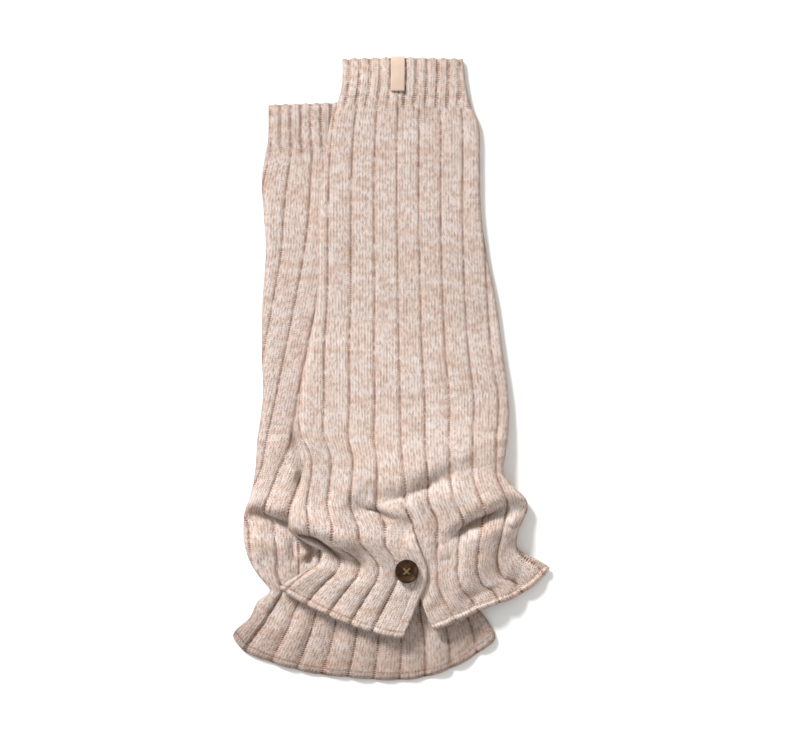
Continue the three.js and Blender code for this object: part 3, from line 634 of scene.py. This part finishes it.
def hem_shape(down):
    """The rolled hem: a bead of cloth with a line of stitches above it."""
    bead = HEM_BEAD * np.sin(math.pi * np.clip(down / HEM_ROLL, 0, 1)) ** HEM_BEAD_POWER
    line = HEM_LINE_DEPTH * bell(down - HEM_LINE, HEM_LINE_WIDTH)
    return bead - line - HEM_LIP_DROP * (1 - round_over(down, HEM_LIP))


def round_corner(grid, half):
    """Rounds the corner where the hem meets the side fold."""
    inward, upward = HEM_CORNER - grid["edge"], HEM_CORNER - grid["down"]
    shrink = np.maximum(inward, upward) / np.maximum(np.hypot(inward, upward), TINY)
    corner = (inward > 0) & (upward > 0)
    grid["x"] -= np.where(corner, inward * (1 - shrink) * half, 0)
    grid["y"] += np.where(corner, upward * (1 - shrink), 0)


def edge_waves(grid, station, turn):
    """The grooves draw the hem up a little, and the cuff's top edge down."""
    scallop = np.cos(2 * math.pi * grid["cuff_place"]) * (1 - ease(station / SCALLOP_ROWS))
    by_groove = 1 - ease(np.abs(grid["s"] - np.round(grid["s"])) / PINCH_HALF)
    pinch = by_groove * (1 - ease(grid["down"] / PINCH_REACH))
    return EDGE_WAVE * (pinch * turn - scallop)


print("hem and edge ready")

# %% The front and the back of a tube
TURN_RADIUS = 4.5
TURN_HEIGHT = 0.75
TOP_LIP_ROWS = 0.1
TOP_LIP_DROP = 1.2
FLAP_DIP = 3.4
DIP_FROM = 9.5
DIP_OVER = 8.5
BACK_LIFT = 0.05


def cloth_top(leg, table, grid, turn):
    """The height of plain cloth with its folds, before ribs and tucks."""
    height = table["height"][:, None]
    folds = fold_rise(leg["folds"], grid["x"], grid["y"])
    rise = height / 2 + (height / 2 + folds) * turn
    return leg["base"](grid["x"], grid["y"]) + rise + ripple(grid["x"], grid["y"]) * turn


def add_cuff(leg, table, grid, half):
    """The cuff's share, and the place across it counted in narrow ribs."""
    grid["cuff"] = cuff_share(table, grid["s"])
    grid["cuff_place"] = (grid["s"] - leg["cuff_phase"][half]) / leg["cuff_pitch"]


def front_grid(leg, table, half):
    grid = spots(leg, table, half, COLUMNS, middle_of(leg, table, half))
    station, height = table["station"][:, None], table["height"][:, None]
    turn = round_over(grid["edge"], np.maximum(TURN_RADIUS, TURN_HEIGHT * height))
    grid["down"] = down_to_hem(grid)
    add_cuff(leg, table, grid, half)
    z = cloth_top(leg, table, grid, turn) + front_ribs(leg, grid, station) * turn**2
    z += hem_shape(grid["down"]) * turn
    z -= TOP_LIP_DROP * (1 - round_over(station, TOP_LIP_ROWS)) * turn
    if half > 0:
        dip = FLAP_DIP * table["lap"][:, None]
        z -= dip * ease((table["overX"][:, None] + DIP_FROM - grid["x"]) / DIP_OVER)
    round_corner(grid, half)
    grid["y"] += edge_waves(grid, station, turn)
    grid["x"], grid["y"], sink = tucked(leg["tucks"], grid["x"], grid["y"])
    lowest = leg["base"](grid["x"], grid["y"]) + leg["least"] * height
    grid["z"] = np.maximum(z - sink * turn, lowest)
    return grid


def back_grid(leg, table, half):
    rows = table["station"] <= BACK_END + TINY
    table = {name: column[rows] for name, column in table.items()}
    middle = (table["overX"] + table["underX"]) / 2, (table["overY"] + table["underY"]) / 2
    grid = spots(leg, table, half, BACK_COLUMNS, middle)
    half_height = table["height"][:, None] / 2
    above = leg["base"](grid["x"], grid["y"]) + half_height
    low = leg["underside"](grid["x"], grid["y"]) + BACK_LIFT
    turn = round_over(grid["edge"], np.minimum(half_height, TURN_RADIUS))
    add_cuff(leg, table, grid, half)
    grid["x"], grid["y"], _ = tucked(leg["tucks"], grid["x"], grid["y"])
    grid["z"] = mix(above, low, turn)
    return grid


print("tube faces ready")

# %% A sheet object from its grids
WELD = 2e-6
MAPS = {
    "stitches": ("wale", "course"),
    "trim": ("down", "cuff"),
    "cuff_ribs": ("cuff_place", "shown"),
    "sides": ("edge", "from_top"),
}
# What goes on the maps where a grid has no such values of its own.
PLAIN = {"down": 99, "cuff": 0, "cuff_place": 0.5, "shown": 1, "edge": 99}


def map_values(grid, first_course):
    """What each point of a grid puts on the maps, by name."""
    shape = grid["x"].shape
    middle = shape[1] // 3
    step = np.hypot(np.diff(grid["x"][:, middle]), np.diff(grid["y"][:, middle]))
    courses = np.concatenate([[0], np.cumsum(step)]) / COURSE
    values = {"wale": grid["s"] * WALES_PER_RIB}
    values["from_top"] = np.repeat(courses[:, None], shape[1], axis=1)
    values["course"] = first_course + values["from_top"]
    for key, plain in PLAIN.items():
        values[key] = grid.get(key, np.full(shape, plain))
    return values


def sheet_object(name, grids, thickness, first_course=0.0):
    """Grids joined into one mesh, welded where they meet and given the cloth's thickness."""
    vertices, faces, values = [], [], []
    for grid, flip in grids:
        shape = grid["x"].shape
        corner = len(vertices) + np.arange(grid["x"].size).reshape(shape)
        quads = np.stack([corner[:-1, :-1], corner[1:, :-1], corner[1:, 1:], corner[:-1, 1:]], 2)
        faces += (quads[:, :, ::-1] if flip else quads).reshape(-1, 4).tolist()
        place = np.stack([grid["x"] + SHIFT[0], grid["y"] + SHIFT[1], grid["z"]], 2) * MM
        vertices += place.reshape(-1, 3).tolist()
        values.append(map_values(grid, first_course))
    mesh = bpy.data.meshes.new(name)
    mesh.from_pydata(vertices, [], faces)
    corners = np.array([loop.vertex_index for loop in mesh.loops])
    for map_name, keys in MAPS.items():
        layer = mesh.uv_layers.new(name=map_name)
        pair = [np.concatenate([value[key].ravel() for value in values]) for key in keys]
        layer.data.foreach_set("uv", np.stack(pair, 1).astype(np.float32)[corners].ravel())
    cloth = bmesh.new()
    cloth.from_mesh(mesh)
    bmesh.ops.remove_doubles(cloth, verts=cloth.verts, dist=WELD)
    cloth.to_mesh(mesh)
    cloth.free()
    mesh.shade_smooth()
    sheet = bpy.data.objects.new(name, mesh)
    bpy.context.scene.collection.objects.link(sheet)
    wall = sheet.modifiers.new("cloth_thickness", "SOLIDIFY")
    wall.thickness = thickness * MM
    wall.offset = -1
    wall.use_even_offset = False
    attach(sheet, "root")
    return sheet


print("sheet maker ready")

# %% [markdown]
# The knit is far too fine to model stitch by stitch, so it is a bump and colour pattern. Every
# wale is a column of small V shapes with a pinhole beside each; the pinholes and the gaps
# between stitches are painted dark as shade. Between two wide ribs lies one purl wale, sunk,
# with painted shade dotted down it. The yarn is marled: light and tan strands are twisted
# together, which shows as pale and tan streaks a few courses tall.

# %% Shader wiring
class Wiring:
    """Adds and links shader nodes with few words."""

    def __init__(self, name, roughness, specular):
        self.material = bpy.data.materials.new(name)
        self.material.use_nodes = True
        self.tree = self.material.node_tree
        self.shader = self.tree.nodes["Principled BSDF"]
        self.shader.inputs["Roughness"].default_value = roughness
        self.shader.inputs["Specular IOR Level"].default_value = specular

    def node(self, kind, **settings):
        made = self.tree.nodes.new(kind)
        for key, value in settings.items():
            setattr(made, key, value)
        return made

    def put(self, socket, value):
        if isinstance(value, bpy.types.NodeSocket):
            self.tree.links.new(value, socket)
        else:
            socket.default_value = value

    def math(self, operation, *values):
        made = self.node("ShaderNodeMath", operation=operation)
        for socket, value in zip(made.inputs, values):
            self.put(socket, value)
        return made.outputs[0]

    plus = partialmethod(math, "ADD")
    minus = partialmethod(math, "SUBTRACT")
    times = partialmethod(math, "MULTIPLY")
    scaled = partialmethod(math, "MULTIPLY_ADD")
    most = partialmethod(math, "MAXIMUM")
    sine = partialmethod(math, "SINE")

    def away_from_whole(self, value):
        return self.math("ABSOLUTE", self.minus(value, self.math("ROUND", value)))

    def smooth(self, value, low, high):
        """From 0 at low softly to 1 at high; low may be the larger."""
        made = self.node("ShaderNodeMapRange", interpolation_type="SMOOTHSTEP")
        for socket, item in zip(made.inputs, (value, low, high, 0.0, 1.0)):
            self.put(socket, item)
        return made.outputs[0]

    def blend(self, share, first, second, kind="MIX"):
        made = self.node("ShaderNodeMix", data_type="RGBA", blend_type=kind)
        self.put(made.inputs[0], share)
        for socket, value in ((made.inputs[6], first), (made.inputs[7], second)):
            self.put(socket, (*value, 1) if isinstance(value, tuple) else value)
        return made.outputs[2]

    def map_parts(self, name):
        uv_map = self.node("ShaderNodeUVMap", uv_map=name)
        parts = self.node("ShaderNodeSeparateXYZ")
        self.put(parts.inputs[0], uv_map.outputs[0])
        return parts.outputs[0], parts.outputs[1]

    def place(self, x, x_scale, y, y_scale, layer=0.0):
        made = self.node("ShaderNodeCombineXYZ")
        self.put(made.inputs[0], self.times(x, x_scale))
        self.put(made.inputs[1], self.times(y, y_scale))
        self.put(made.inputs[2], layer)
        return made.outputs[0]

    def object_place(self):
        place = self.node("ShaderNodeTexCoord").outputs["Object"]
        parts = self.node("ShaderNodeSeparateXYZ")
        self.put(parts.inputs[0], place)
        return place, parts.outputs

    def chance(self, vector, dimensions):
        made = self.node("ShaderNodeTexWhiteNoise", noise_dimensions=dimensions)
        self.put(made.inputs["Vector"], vector)
        return made.outputs["Value"]

    def noise(self, vector, detail, roughness, scale=1.0):
        made = self.node("ShaderNodeTexNoise")
        self.put(made.inputs["Vector"], vector)
        made.inputs["Scale"].default_value = scale
        made.inputs["Detail"].default_value = detail
        made.inputs["Roughness"].default_value = roughness
        return made.outputs["Fac"]

    def bump(self, height, distance, strength):
        made = self.node("ShaderNodeBump")
        made.inputs["Strength"].default_value = strength
        made.inputs["Distance"].default_value = distance
        self.put(made.inputs["Height"], height)
        self.put(self.shader.inputs["Normal"], made.outputs[0])


print("wiring ready")

# %% The knit's colours and noises
PALE = (0.985, 0.885, 0.835)
BEIGE = (0.93, 0.76, 0.67)
TAN = (0.62, 0.42, 0.31)
# The dark brown of all the painted shade: holes, gaps, grooves, the hem's crease and edges.
PAINTED_SHADE_BROWN = (0.20, 0.10, 0.055)
# Each noise: scale across the wales, scale down the courses, layer, detail, roughness.
KNIT_NOISE = {
    "bend": (0.22, 0.22, 31.0, 2.0, 0.5),
    "streak": (0.1, 0.28, 0.0, 3.0, 0.58),
    "cloud": (0.045, 0.12, 4.0, 2.0, 0.5),
    "strand": (1.1, 0.9, 9.0, 2.0, 0.7),
    "uneven": (0.125, 0.11, 17.0, 2.0, 0.6),
}


def knit_noise(knit, kind, wale, course):
    across, down, layer, detail, roughness = KNIT_NOISE[kind]
    return knit.noise(knit.place(wale, across, course, down, layer), detail, roughness)


print("knit noises", list(KNIT_NOISE))

# %% The stitches and the grooves
ROW_WANDER = 1.4
STITCH_SLANT = 2.4
YARN_SHOULDER = 0.12
YARN_POWER = 0.6
WALES_PER_CUFF_RIB = 3.0
CUFF_GROOVE_TONE = 0.8


def stitch_parts(knit, wale, course):
    """V-shaped stitches: the yarn's height, the pinholes beside it and the gaps between legs."""
    row = knit.scaled(knit_noise(knit, "bend", wale, course), ROW_WANDER, course)
    middle = knit.math("ABSOLUTE", knit.minus(knit.math("FRACT", wale), 0.5))
    slanted = knit.scaled(middle, STITCH_SLANT, row)
    leg = knit.sine(knit.times(knit.math("FRACT", slanted), math.pi))
    side = knit.sine(knit.times(middle, 2 * math.pi))
    bulge = knit.times(leg, knit.plus(side, YARN_SHOULDER))
    above = knit.minus(1.0, knit.smooth(leg, 0.3, 0.88))
    stitch_row = knit.math("FLOOR", slanted)
    half_wale = knit.math("FLOOR", knit.times(wale, 2.0))
    return {
        "yarn": knit.math("POWER", bulge, YARN_POWER),
        "pinhole": knit.times(knit.smooth(middle, 0.15, 0.42), above),
        "gap": knit.minus(1.0, knit.smooth(leg, 0.05, 0.55)),
        "strand": knit_noise(knit, "strand", wale, row),
        "fleck": knit.chance(knit.place(knit.math("ROUND", wale), 1.0, stitch_row, 1.0), "2D"),
        "ply": knit.chance(knit.place(half_wale, 1.0, stitch_row, 1.0, layer=5.0), "3D"),
    }


def groove_share(knit, wale, cuff, cuff_rib, shown):
    """1 in the sunk wale between two ribs, wide ones on the body and narrow ones on the cuff."""
    wales = float(WALES_PER_RIB)
    from_wide = knit.times(knit.away_from_whole(knit.math("DIVIDE", wale, wales)), wales)
    from_narrow = knit.times(knit.away_from_whole(cuff_rib), WALES_PER_CUFF_RIB)
    on_body = knit.times(knit.smooth(from_wide, 0.75, 0.2), knit.minus(1.0, cuff))
    cuff_tone = knit.times(cuff, CUFF_GROOVE_TONE)
    on_cuff = knit.times(knit.smooth(from_narrow, 0.8, 0.2), cuff_tone)
    return knit.times(shown, knit.plus(on_body, on_cuff))


print("stitches ready")

# %% The yarn's colour and the painted shade in holes and grooves
STREAK_SHARE = 0.75
CLOUD_SHARE = 0.35
STREAK_HIDES_TAN = 1.3
TAN_TONE = 0.54
PLY_TONE = 0.58
HOLE_TONES = (0.9, 0.4)
GAP_TONE = 0.68
DOT_DEPTH = 0.97
UNEVEN_TONES = (0.6, 0.85)
CHANCE_TONES = (1.2, 0.55)


def marled_yarn(knit, stitch, wale, course):
    """Pale and beige streaks a few courses tall, with tan strands and darker plies in them."""
    streak = knit_noise(knit, "streak", wale, course)
    cloud = knit_noise(knit, "cloud", wale, course)
    marl = knit.plus(knit.times(streak, STREAK_SHARE), knit.times(cloud, CLOUD_SHARE))
    color = knit.blend(knit.smooth(marl, 0.43, 0.63), BEIGE, PALE)
    mottle = knit.plus(stitch["strand"], stitch["fleck"])
    tan = knit.smooth(knit.minus(mottle, knit.times(streak, STREAK_HIDES_TAN)), 0.3, 1.1)
    color = knit.blend(knit.times(tan, TAN_TONE), color, TAN)
    ply = knit.smooth(stitch["ply"], 0.45, 0.9)
    return knit.blend(knit.times(ply, PLY_TONE), color, TAN)


def painted_gap_shade(knit, color, stitch, groove, wale, course):
    """Painted shade in the pinholes, in the gaps between stitches and dotted down each groove."""
    open_hole = knit.scaled(knit.smooth(stitch["fleck"], 0.1, 0.9), *HOLE_TONES)
    hole = knit.times(stitch["pinhole"], open_hole)
    color = knit.blend(knit.most(hole, knit.times(stitch["gap"], GAP_TONE)), color, PAINTED_SHADE_BROWN)
    # A dotted line of painted shade down each groove.
    bars = knit.sine(knit.times(course, 2 * math.pi))
    dots = knit.scaled(bars, -DOT_DEPTH / 2, 1 - DOT_DEPTH / 2)
    uneven = knit.smooth(knit_noise(knit, "uneven", wale, course), 0.3, 0.6)
    strength = knit.scaled(uneven, *UNEVEN_TONES)
    chance = knit.scaled(stitch["fleck"], *CHANCE_TONES)
    line = knit.times(knit.times(dots, strength), chance)
    return knit.blend(knit.times(groove, line), color, PAINTED_SHADE_BROWN)


print("yarn colours ready")

# %% The edges' painted shade and the knit material
# The painted shade's strength at the side folds, the cuff's top edge and the rolled hem.
SIDE_SHADE = 0.36
TOP_SHADE = 0.4
ROLL_SHADE = 0.13
# How far up from the hem the painted hem shade reaches, in millimetres.
HEM_SHADE_REACH = 62.0
GROOVE_FLATTENS = -0.6
FUZZ = 0.4


def painted_edge_shade(knit, color, stitch, down, from_side, from_top, painted_hem_shade):
    """Painted shade: in the crease above the rolled hem, on the turned edges, and over the hem."""
    # A line of painted shade in the crease above the rolled hem, broken by the strands.
    line = knit.times(knit.smooth(down, 4.0, 5.4), knit.smooth(down, 7.0, 5.8))
    line = knit.times(line, knit.smooth(stitch["strand"], 0.15, 1.0))
    color = knit.blend(line, color, PAINTED_SHADE_BROWN)
    # Painted shade where the cloth turns away at the side folds, the top edge and the roll.
    side = knit.times(knit.smooth(from_side, 2.8, 0.3), SIDE_SHADE)
    top = knit.times(knit.smooth(from_top, 1.8, 0.1), TOP_SHADE)
    roll = knit.times(knit.smooth(down, 4.4, 1.5), ROLL_SHADE)
    color = knit.blend(knit.most(knit.most(side, top), roll), color, PAINTED_SHADE_BROWN)
    # Painted hem shade, fading out 62 mm up from the hem.
    shaded_hem = knit.blend(1.0, color, painted_hem_shade, "MULTIPLY")
    return knit.blend(knit.smooth(down, HEM_SHADE_REACH, 0.0), color, shaded_hem)


def knit_material(name, painted_hem_shade):
    knit = Wiring(name, roughness=0.92, specular=0.2)
    wale, course = knit.map_parts("stitches")
    down, cuff = knit.map_parts("trim")
    cuff_rib, shown = knit.map_parts("cuff_ribs")
    from_side, from_top = knit.map_parts("sides")
    stitch = stitch_parts(knit, wale, course)
    groove = groove_share(knit, wale, cuff, cuff_rib, shown)
    color = marled_yarn(knit, stitch, wale, course)
    color = painted_gap_shade(knit, color, stitch, groove, wale, course)
    color = painted_edge_shade(knit, color, stitch, down, from_side, from_top, painted_hem_shade)
    knit.put(knit.shader.inputs["Base Color"], color)
    raised = knit.times(stitch["yarn"], knit.scaled(groove, GROOVE_FLATTENS, 1.0))
    relief = knit.plus(raised, knit.times(stitch["strand"], FUZZ))
    knit.bump(relief, distance=0.001, strength=0.9)
    knit.shader.inputs["Sheen Weight"].default_value = 0.06
    knit.shader.inputs["Sheen Roughness"].default_value = 0.5
    return knit.material


rib_knit = knit_material("marled_rib_knit", (1.0, 0.99, 0.98))
# The lower one's hem is painted darker, as the shade it lies in under the upper one's flap.
lower_knit = knit_material("marled_rib_knit_painted_hem_shade", (0.69, 0.65, 0.63))
print("knit materials", rib_knit.name, lower_knit.name)

# %% [markdown]
# The two tubes share one recipe. The lower one lies on the floor, and the upper one drapes
# over it: its base is the lower one's top, easing down to the floor past the side.

# %% The lower leg warmer
WALL = 2.1


def on_floor(x, y):
    return np.zeros_like(x)


def tube(name, leg, sections, first_course, knit):
    table = fine_sections(sections, ROW_SPACING)
    grids = []
    for half in (-1, 1):
        grids.append((front_grid(leg, table, half), half < 0))
        grids.append((back_grid(leg, table, half), half > 0))
    piece = sheet_object(name, grids, WALL, first_course)
    piece.data.materials.append(knit)
    print(name, len(piece.data.polygons), "faces before its thickness")
    return piece


# The first courses, 500 and 21, keep the two patterns apart.
lower_leg = {
    "folds": LOWER_FOLDS, "tucks": LOWER_TUCKS, "slit": 0, "base": on_floor,
    "underside": on_floor, "cuff_phase": {-1: 0, 1: 0}, "cuff_pitch": 0.5, "least": 0.42,
    "hem_lean": LOWER_HEM_LEAN, "flare_relief": 0.7,
}
lower_tube = tube("lower_leg_warmer", lower_leg, LOWER, 500, lower_knit)
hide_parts("lower_body_front", "lower_body_back", "lower_cuff_front", "lower_cuff_back")

# %% The upper leg warmer
DRAPE_ABOVE = 44
DRAPE_BELOW = 20
upper_leg = {
    "folds": UPPER_FOLDS, "tucks": UPPER_TUCKS, "slit": 1,
    "base": partial(draped, width=DRAPE_ABOVE), "underside": partial(draped, width=DRAPE_BELOW),
    "cuff_phase": {-1: -0.5, 1: 0.76}, "cuff_pitch": 0.525, "least": 0.25,
    "hem_lean": 2.8, "flare_relief": 0.2,
}
upper_tube = tube("upper_leg_warmer", upper_leg, UPPER, 21, rib_knit)
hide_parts("upper_body_front", "upper_body_back", "upper_cuff_front", "upper_cuff_back")

# %% [markdown]
# The slit's upper flap ends in a narrow band, with its wales running down the slit. It is a
# sheet of its own, laid on the flap and tucked under it on the left.

# %% The band beside the slit
BAND_WALL = 1.6
BAND_STEPS = np.array([0, 0.25, 0.6, 1.2, 2.1, 3.2, 4.4, 5.6, 6.8, 7.8])
BAND_STARTS = 0.2
BAND_TUCK = 1.4
BAND_WALE = 2.2
BAND_PHASE = 0.06
BAND_LIFT = 0.15
BAND_SINK = 1.5
BAND_SINK_OVER = 1.2
BAND_LIP = 1.7


def slit_band(leg, table):
    rows = table["station"] > SLIT_TOP + BAND_STARTS
    part = {name: column[rows] for name, column in table.items()}
    width = band_width(part["station"])[:, None]
    offset = np.minimum(BAND_STEPS[None, :], width + BAND_TUCK)
    x = part["overX"][:, None] - offset
    y = np.repeat(part["overY"][:, None], x.shape[1], axis=1)
    grid = {"x": x, "y": y, "s": offset / BAND_WALE / WALES_PER_RIB + BAND_PHASE}
    grid["down"] = down_to_hem(grid)
    grid["shown"] = np.zeros_like(x)
    top = cloth_top(leg, part, grid, np.ones_like(x))
    under = BAND_SINK * ease((offset - width) / BAND_SINK_OVER)
    lip = BAND_LIP * (1 - round_over(offset, BAND_LIP))
    z = top + BAND_LIFT - lip - under + hem_shape(grid["down"])
    grid["x"], grid["y"], sink = tucked(leg["tucks"], grid["x"], grid["y"])
    grid["z"] = z - sink
    return grid


upper_table = fine_sections(UPPER, ROW_SPACING)
band = sheet_object("slit_band", [(slit_band(upper_leg, upper_table), True)], BAND_WALL, 311)
band.data.materials.append(rib_knit)
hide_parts("upper_placket")
print("band faces", len(band.data.polygons))

# %% [markdown]
# The label is a short strip of fine twill ribbon, folded over the cuff's top edge. It stays
# bare. Its weave is a bump: tiny slanted ribs, about three to a millimetre.

# %% The label's weave
LABEL_RIB = 0.45
WEAVE_DARK = (0.565, 0.43, 0.33)
WEAVE_PALE = (0.61, 0.47, 0.375)


def twill_material(name):
    weave = Wiring(name, roughness=0.7, specular=0.25)
    place, parts = weave.object_place()
    x = weave.times(parts[0], 1 / (LABEL_RIB * MM))
    y = weave.times(parts[1], 1 / (LABEL_RIB * MM))
    twill = weave.sine(weave.times(weave.plus(x, y), math.pi))
    thread = weave.sine(weave.times(y, 2 * math.pi))
    height = weave.plus(twill, weave.times(thread, 0.6))
    mixed = weave.plus(weave.times(height, 0.12), weave.noise(place, 3.0, 0.6, scale=260.0))
    color = weave.blend(weave.smooth(mixed, 0.2, 0.8), WEAVE_DARK, WEAVE_PALE)
    weave.put(weave.shader.inputs["Base Color"], color)
    weave.bump(height, distance=0.00012, strength=0.8)
    weave.shader.inputs["Sheen Weight"].default_value = 0.15
    return weave.material


label_twill = twill_material("label_twill")
print("label weave", label_twill.name)

# %% The label
LABEL_WALL = 0.5
LABEL_COLUMNS = 13
LABEL_ROWS = 20
FOLD_STEPS = 9
FOLD_OUT = 1.2
FOLD_DROP = 1.6
LABEL_LIFT = 0.75
DROOP = 2.0
DROOP_FROM = 0.5
DROOP_OVER = 5
SWAY_OVER = 5
BEHIND_LENGTH = 5.0
BEHIND_DROP = 3.3
SWAY = 0.12


def upper_cuff_top(across, y):
    """The height of the label's face where it lies on the cuff's crowns."""
    height = np.interp(-y, -upper_table["overY"], upper_table["height"])
    rest = upper_leg["base"](across, np.full_like(across, y)) + height
    return rest + ripple(across, np.full_like(across, y)) + LABEL_LIFT


def label_grid():
    """Rows up the front, round the fold and down behind."""
    (left, low), (right, high) = np.array(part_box("upper_label"))[:, :2] / MM - SHIFT
    across = np.linspace(left, right, LABEL_COLUMNS)
    rows = []
    for y in np.linspace(low, high - FOLD_OUT, LABEL_ROWS):
        droop = DROOP * (1 - round_over(high - DROOP_FROM - y, DROOP_OVER))
        rows.append((y, upper_cuff_top(across, y) - droop))
    edge_z = rows[-1][1]
    for angle in np.linspace(0, math.pi, FOLD_STEPS)[1:]:
        y = high - FOLD_OUT * (1 - math.sin(angle))
        rows.append((y, edge_z - FOLD_DROP * (1 - math.cos(angle))))
    rows.append((high - BEHIND_LENGTH, edge_z - BEHIND_DROP))
    y = np.repeat(np.array([row[0] for row in rows])[:, None], LABEL_COLUMNS, axis=1)
    z = np.array([row[1] for row in rows])
    x = across[None, :] + SWAY * np.sin(y / SWAY_OVER)
    return {"x": x, "y": y, "z": z, "s": x / WALES_PER_RIB}


label = sheet_object("woven_label", [(label_grid(), False)], LABEL_WALL)
label.data.materials.append(label_twill)
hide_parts("upper_label")
print("label faces", len(label.data.polygons))

# %% [markdown]
# The button is turned from a disc, as a maker would: a raised rim, a dished middle and four
# holes. It starts as a cylinder; insets lower the middle in steps, a boolean cuts the holes
# and a bevel breaks the edges. It keeps the place and tilt of the CAD button.

# %% The button's blank
BUTTON_SIDES = 72
BUTTON_THICK = 2.6 * MM
# Each step from the rim inwards: how far in and how far up, in millimetres.
DISH_STEPS = ((0.9, 0), (0.9, -0.45), (1.1, -0.35), (1.4, -0.12))
button_low, button_high = (Vector(corner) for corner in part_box("upper_button"))
button_centre = (button_low + button_high) / 2
button_radius = (button_high.x - button_low.x) / 2
facing = Vector((0, 0, 0))
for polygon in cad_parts["upper_button"].data.polygons:
    if polygon.normal.z > 0.8:
        facing += polygon.normal * polygon.area

bpy.ops.object.select_all(action="DESELECT")
bpy.ops.mesh.primitive_cylinder_add(
    vertices=BUTTON_SIDES, radius=button_radius, depth=BUTTON_THICK
)
button = bpy.context.object
button.name = "button"

bpy.ops.object.mode_set(mode="EDIT")
bpy.context.tool_settings.mesh_select_mode = (False, False, True)
bpy.ops.mesh.select_all(action="DESELECT")
bpy.ops.object.mode_set(mode="OBJECT")
for polygon in button.data.polygons:
    polygon.select = polygon.normal.z > 0.9
bpy.ops.object.mode_set(mode="EDIT")
for inset, rise in DISH_STEPS:
    bpy.ops.mesh.inset(thickness=inset * MM, depth=0)
    bpy.ops.transform.translate(value=(0, 0, rise * MM))
bpy.ops.object.mode_set(mode="OBJECT")
print("button radius mm", round(button_radius / MM, 2), "faces", len(button.data.polygons))

# %% The four holes and the soft edges
HOLE_PITCH = 2.1 * MM
HOLE_RADIUS = 1.2 * MM
HOLE_SIDES = 24
DRILL_LENGTH = 8 * MM
EDGE_BEVEL = 0.28 * MM

bpy.ops.object.select_all(action="DESELECT")
drills = []
for side_x, side_y in ((-1, -1), (-1, 1), (1, -1), (1, 1)):
    place = (side_x * HOLE_PITCH, side_y * HOLE_PITCH, 0)
    bpy.ops.mesh.primitive_cylinder_add(
        vertices=HOLE_SIDES, radius=HOLE_RADIUS, depth=DRILL_LENGTH, location=place
    )
    drills.append(bpy.context.object)
for drill in drills:
    drill.select_set(True)
bpy.context.view_layer.objects.active = drills[0]
bpy.ops.object.join()
holes = button.modifiers.new("holes", "BOOLEAN")
holes.operation = "DIFFERENCE"
holes.object = drills[0]
bevel = button.modifiers.new("soft_edges", "BEVEL")
bevel.width = EDGE_BEVEL
bevel.segments = 3
bevel.limit_method = "ANGLE"
bevel.angle_limit = math.radians(28)
bpy.ops.object.select_all(action="DESELECT")
button.select_set(True)
bpy.context.view_layer.objects.active = button
bpy.ops.object.modifier_apply(modifier="holes")
bpy.ops.object.modifier_apply(modifier="soft_edges")
bpy.data.objects.remove(drills[0])
bpy.ops.object.shade_smooth_by_angle(angle=math.radians(35))
button.rotation_mode = "QUATERNION"
button.rotation_quaternion = facing.to_track_quat("Z", "Y")
button.location = button_centre
bpy.ops.object.transform_apply(location=True, rotation=True, scale=True)
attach(button, "root")
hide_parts("upper_button")
print("button triangles", sum(len(polygon.vertices) - 2 for polygon in button.data.polygons))

# %% The button's horn and the sewing thread
HORN_DARK = (0.005, 0.002, 0.0006)
HORN_PALE = (0.06, 0.026, 0.006)
THREAD_DARK = (0.10, 0.06, 0.03)
THREAD_PALE = (0.33, 0.22, 0.12)
THREAD_PLIES = 9000.0


def horn_material():
    horn = Wiring("brown_horn", roughness=0.4, specular=0.18)
    place = horn.object_place()[0]
    cloud = horn.noise(place, 3.0, 0.6, scale=190.0)
    grain = horn.noise(place, 4.0, 0.65, scale=700.0)
    patch = horn.plus(cloud, horn.times(grain, 0.3))
    color = horn.blend(horn.smooth(patch, 0.5, 0.85), HORN_DARK, HORN_PALE)
    horn.put(horn.shader.inputs["Base Color"], color)
    horn.bump(grain, distance=0.00008, strength=0.4)
    horn.shader.inputs["Coat Weight"].default_value = 0.05
    horn.shader.inputs["Coat Roughness"].default_value = 0.15
    return horn.material


def thread_material():
    twist = Wiring("sewing_thread", roughness=0.8, specular=0.2)
    parts = twist.object_place()[1]
    along = twist.scaled(parts[0], 2.0, parts[2])
    ply = twist.sine(twist.times(along, THREAD_PLIES))
    color = twist.blend(twist.smooth(ply, -0.9, 0.4), THREAD_DARK, THREAD_PALE)
    twist.put(twist.shader.inputs["Base Color"], color)
    twist.bump(ply, distance=0.00015, strength=0.8)
    return twist.material


button.data.materials.append(horn_material())
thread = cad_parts["upper_button_thread"]
thread_finish = thread_material()
for slot in thread.material_slots:
    slot.material = thread_finish
print("thread node", thread.name, "has", len(thread.material_slots), "finish")
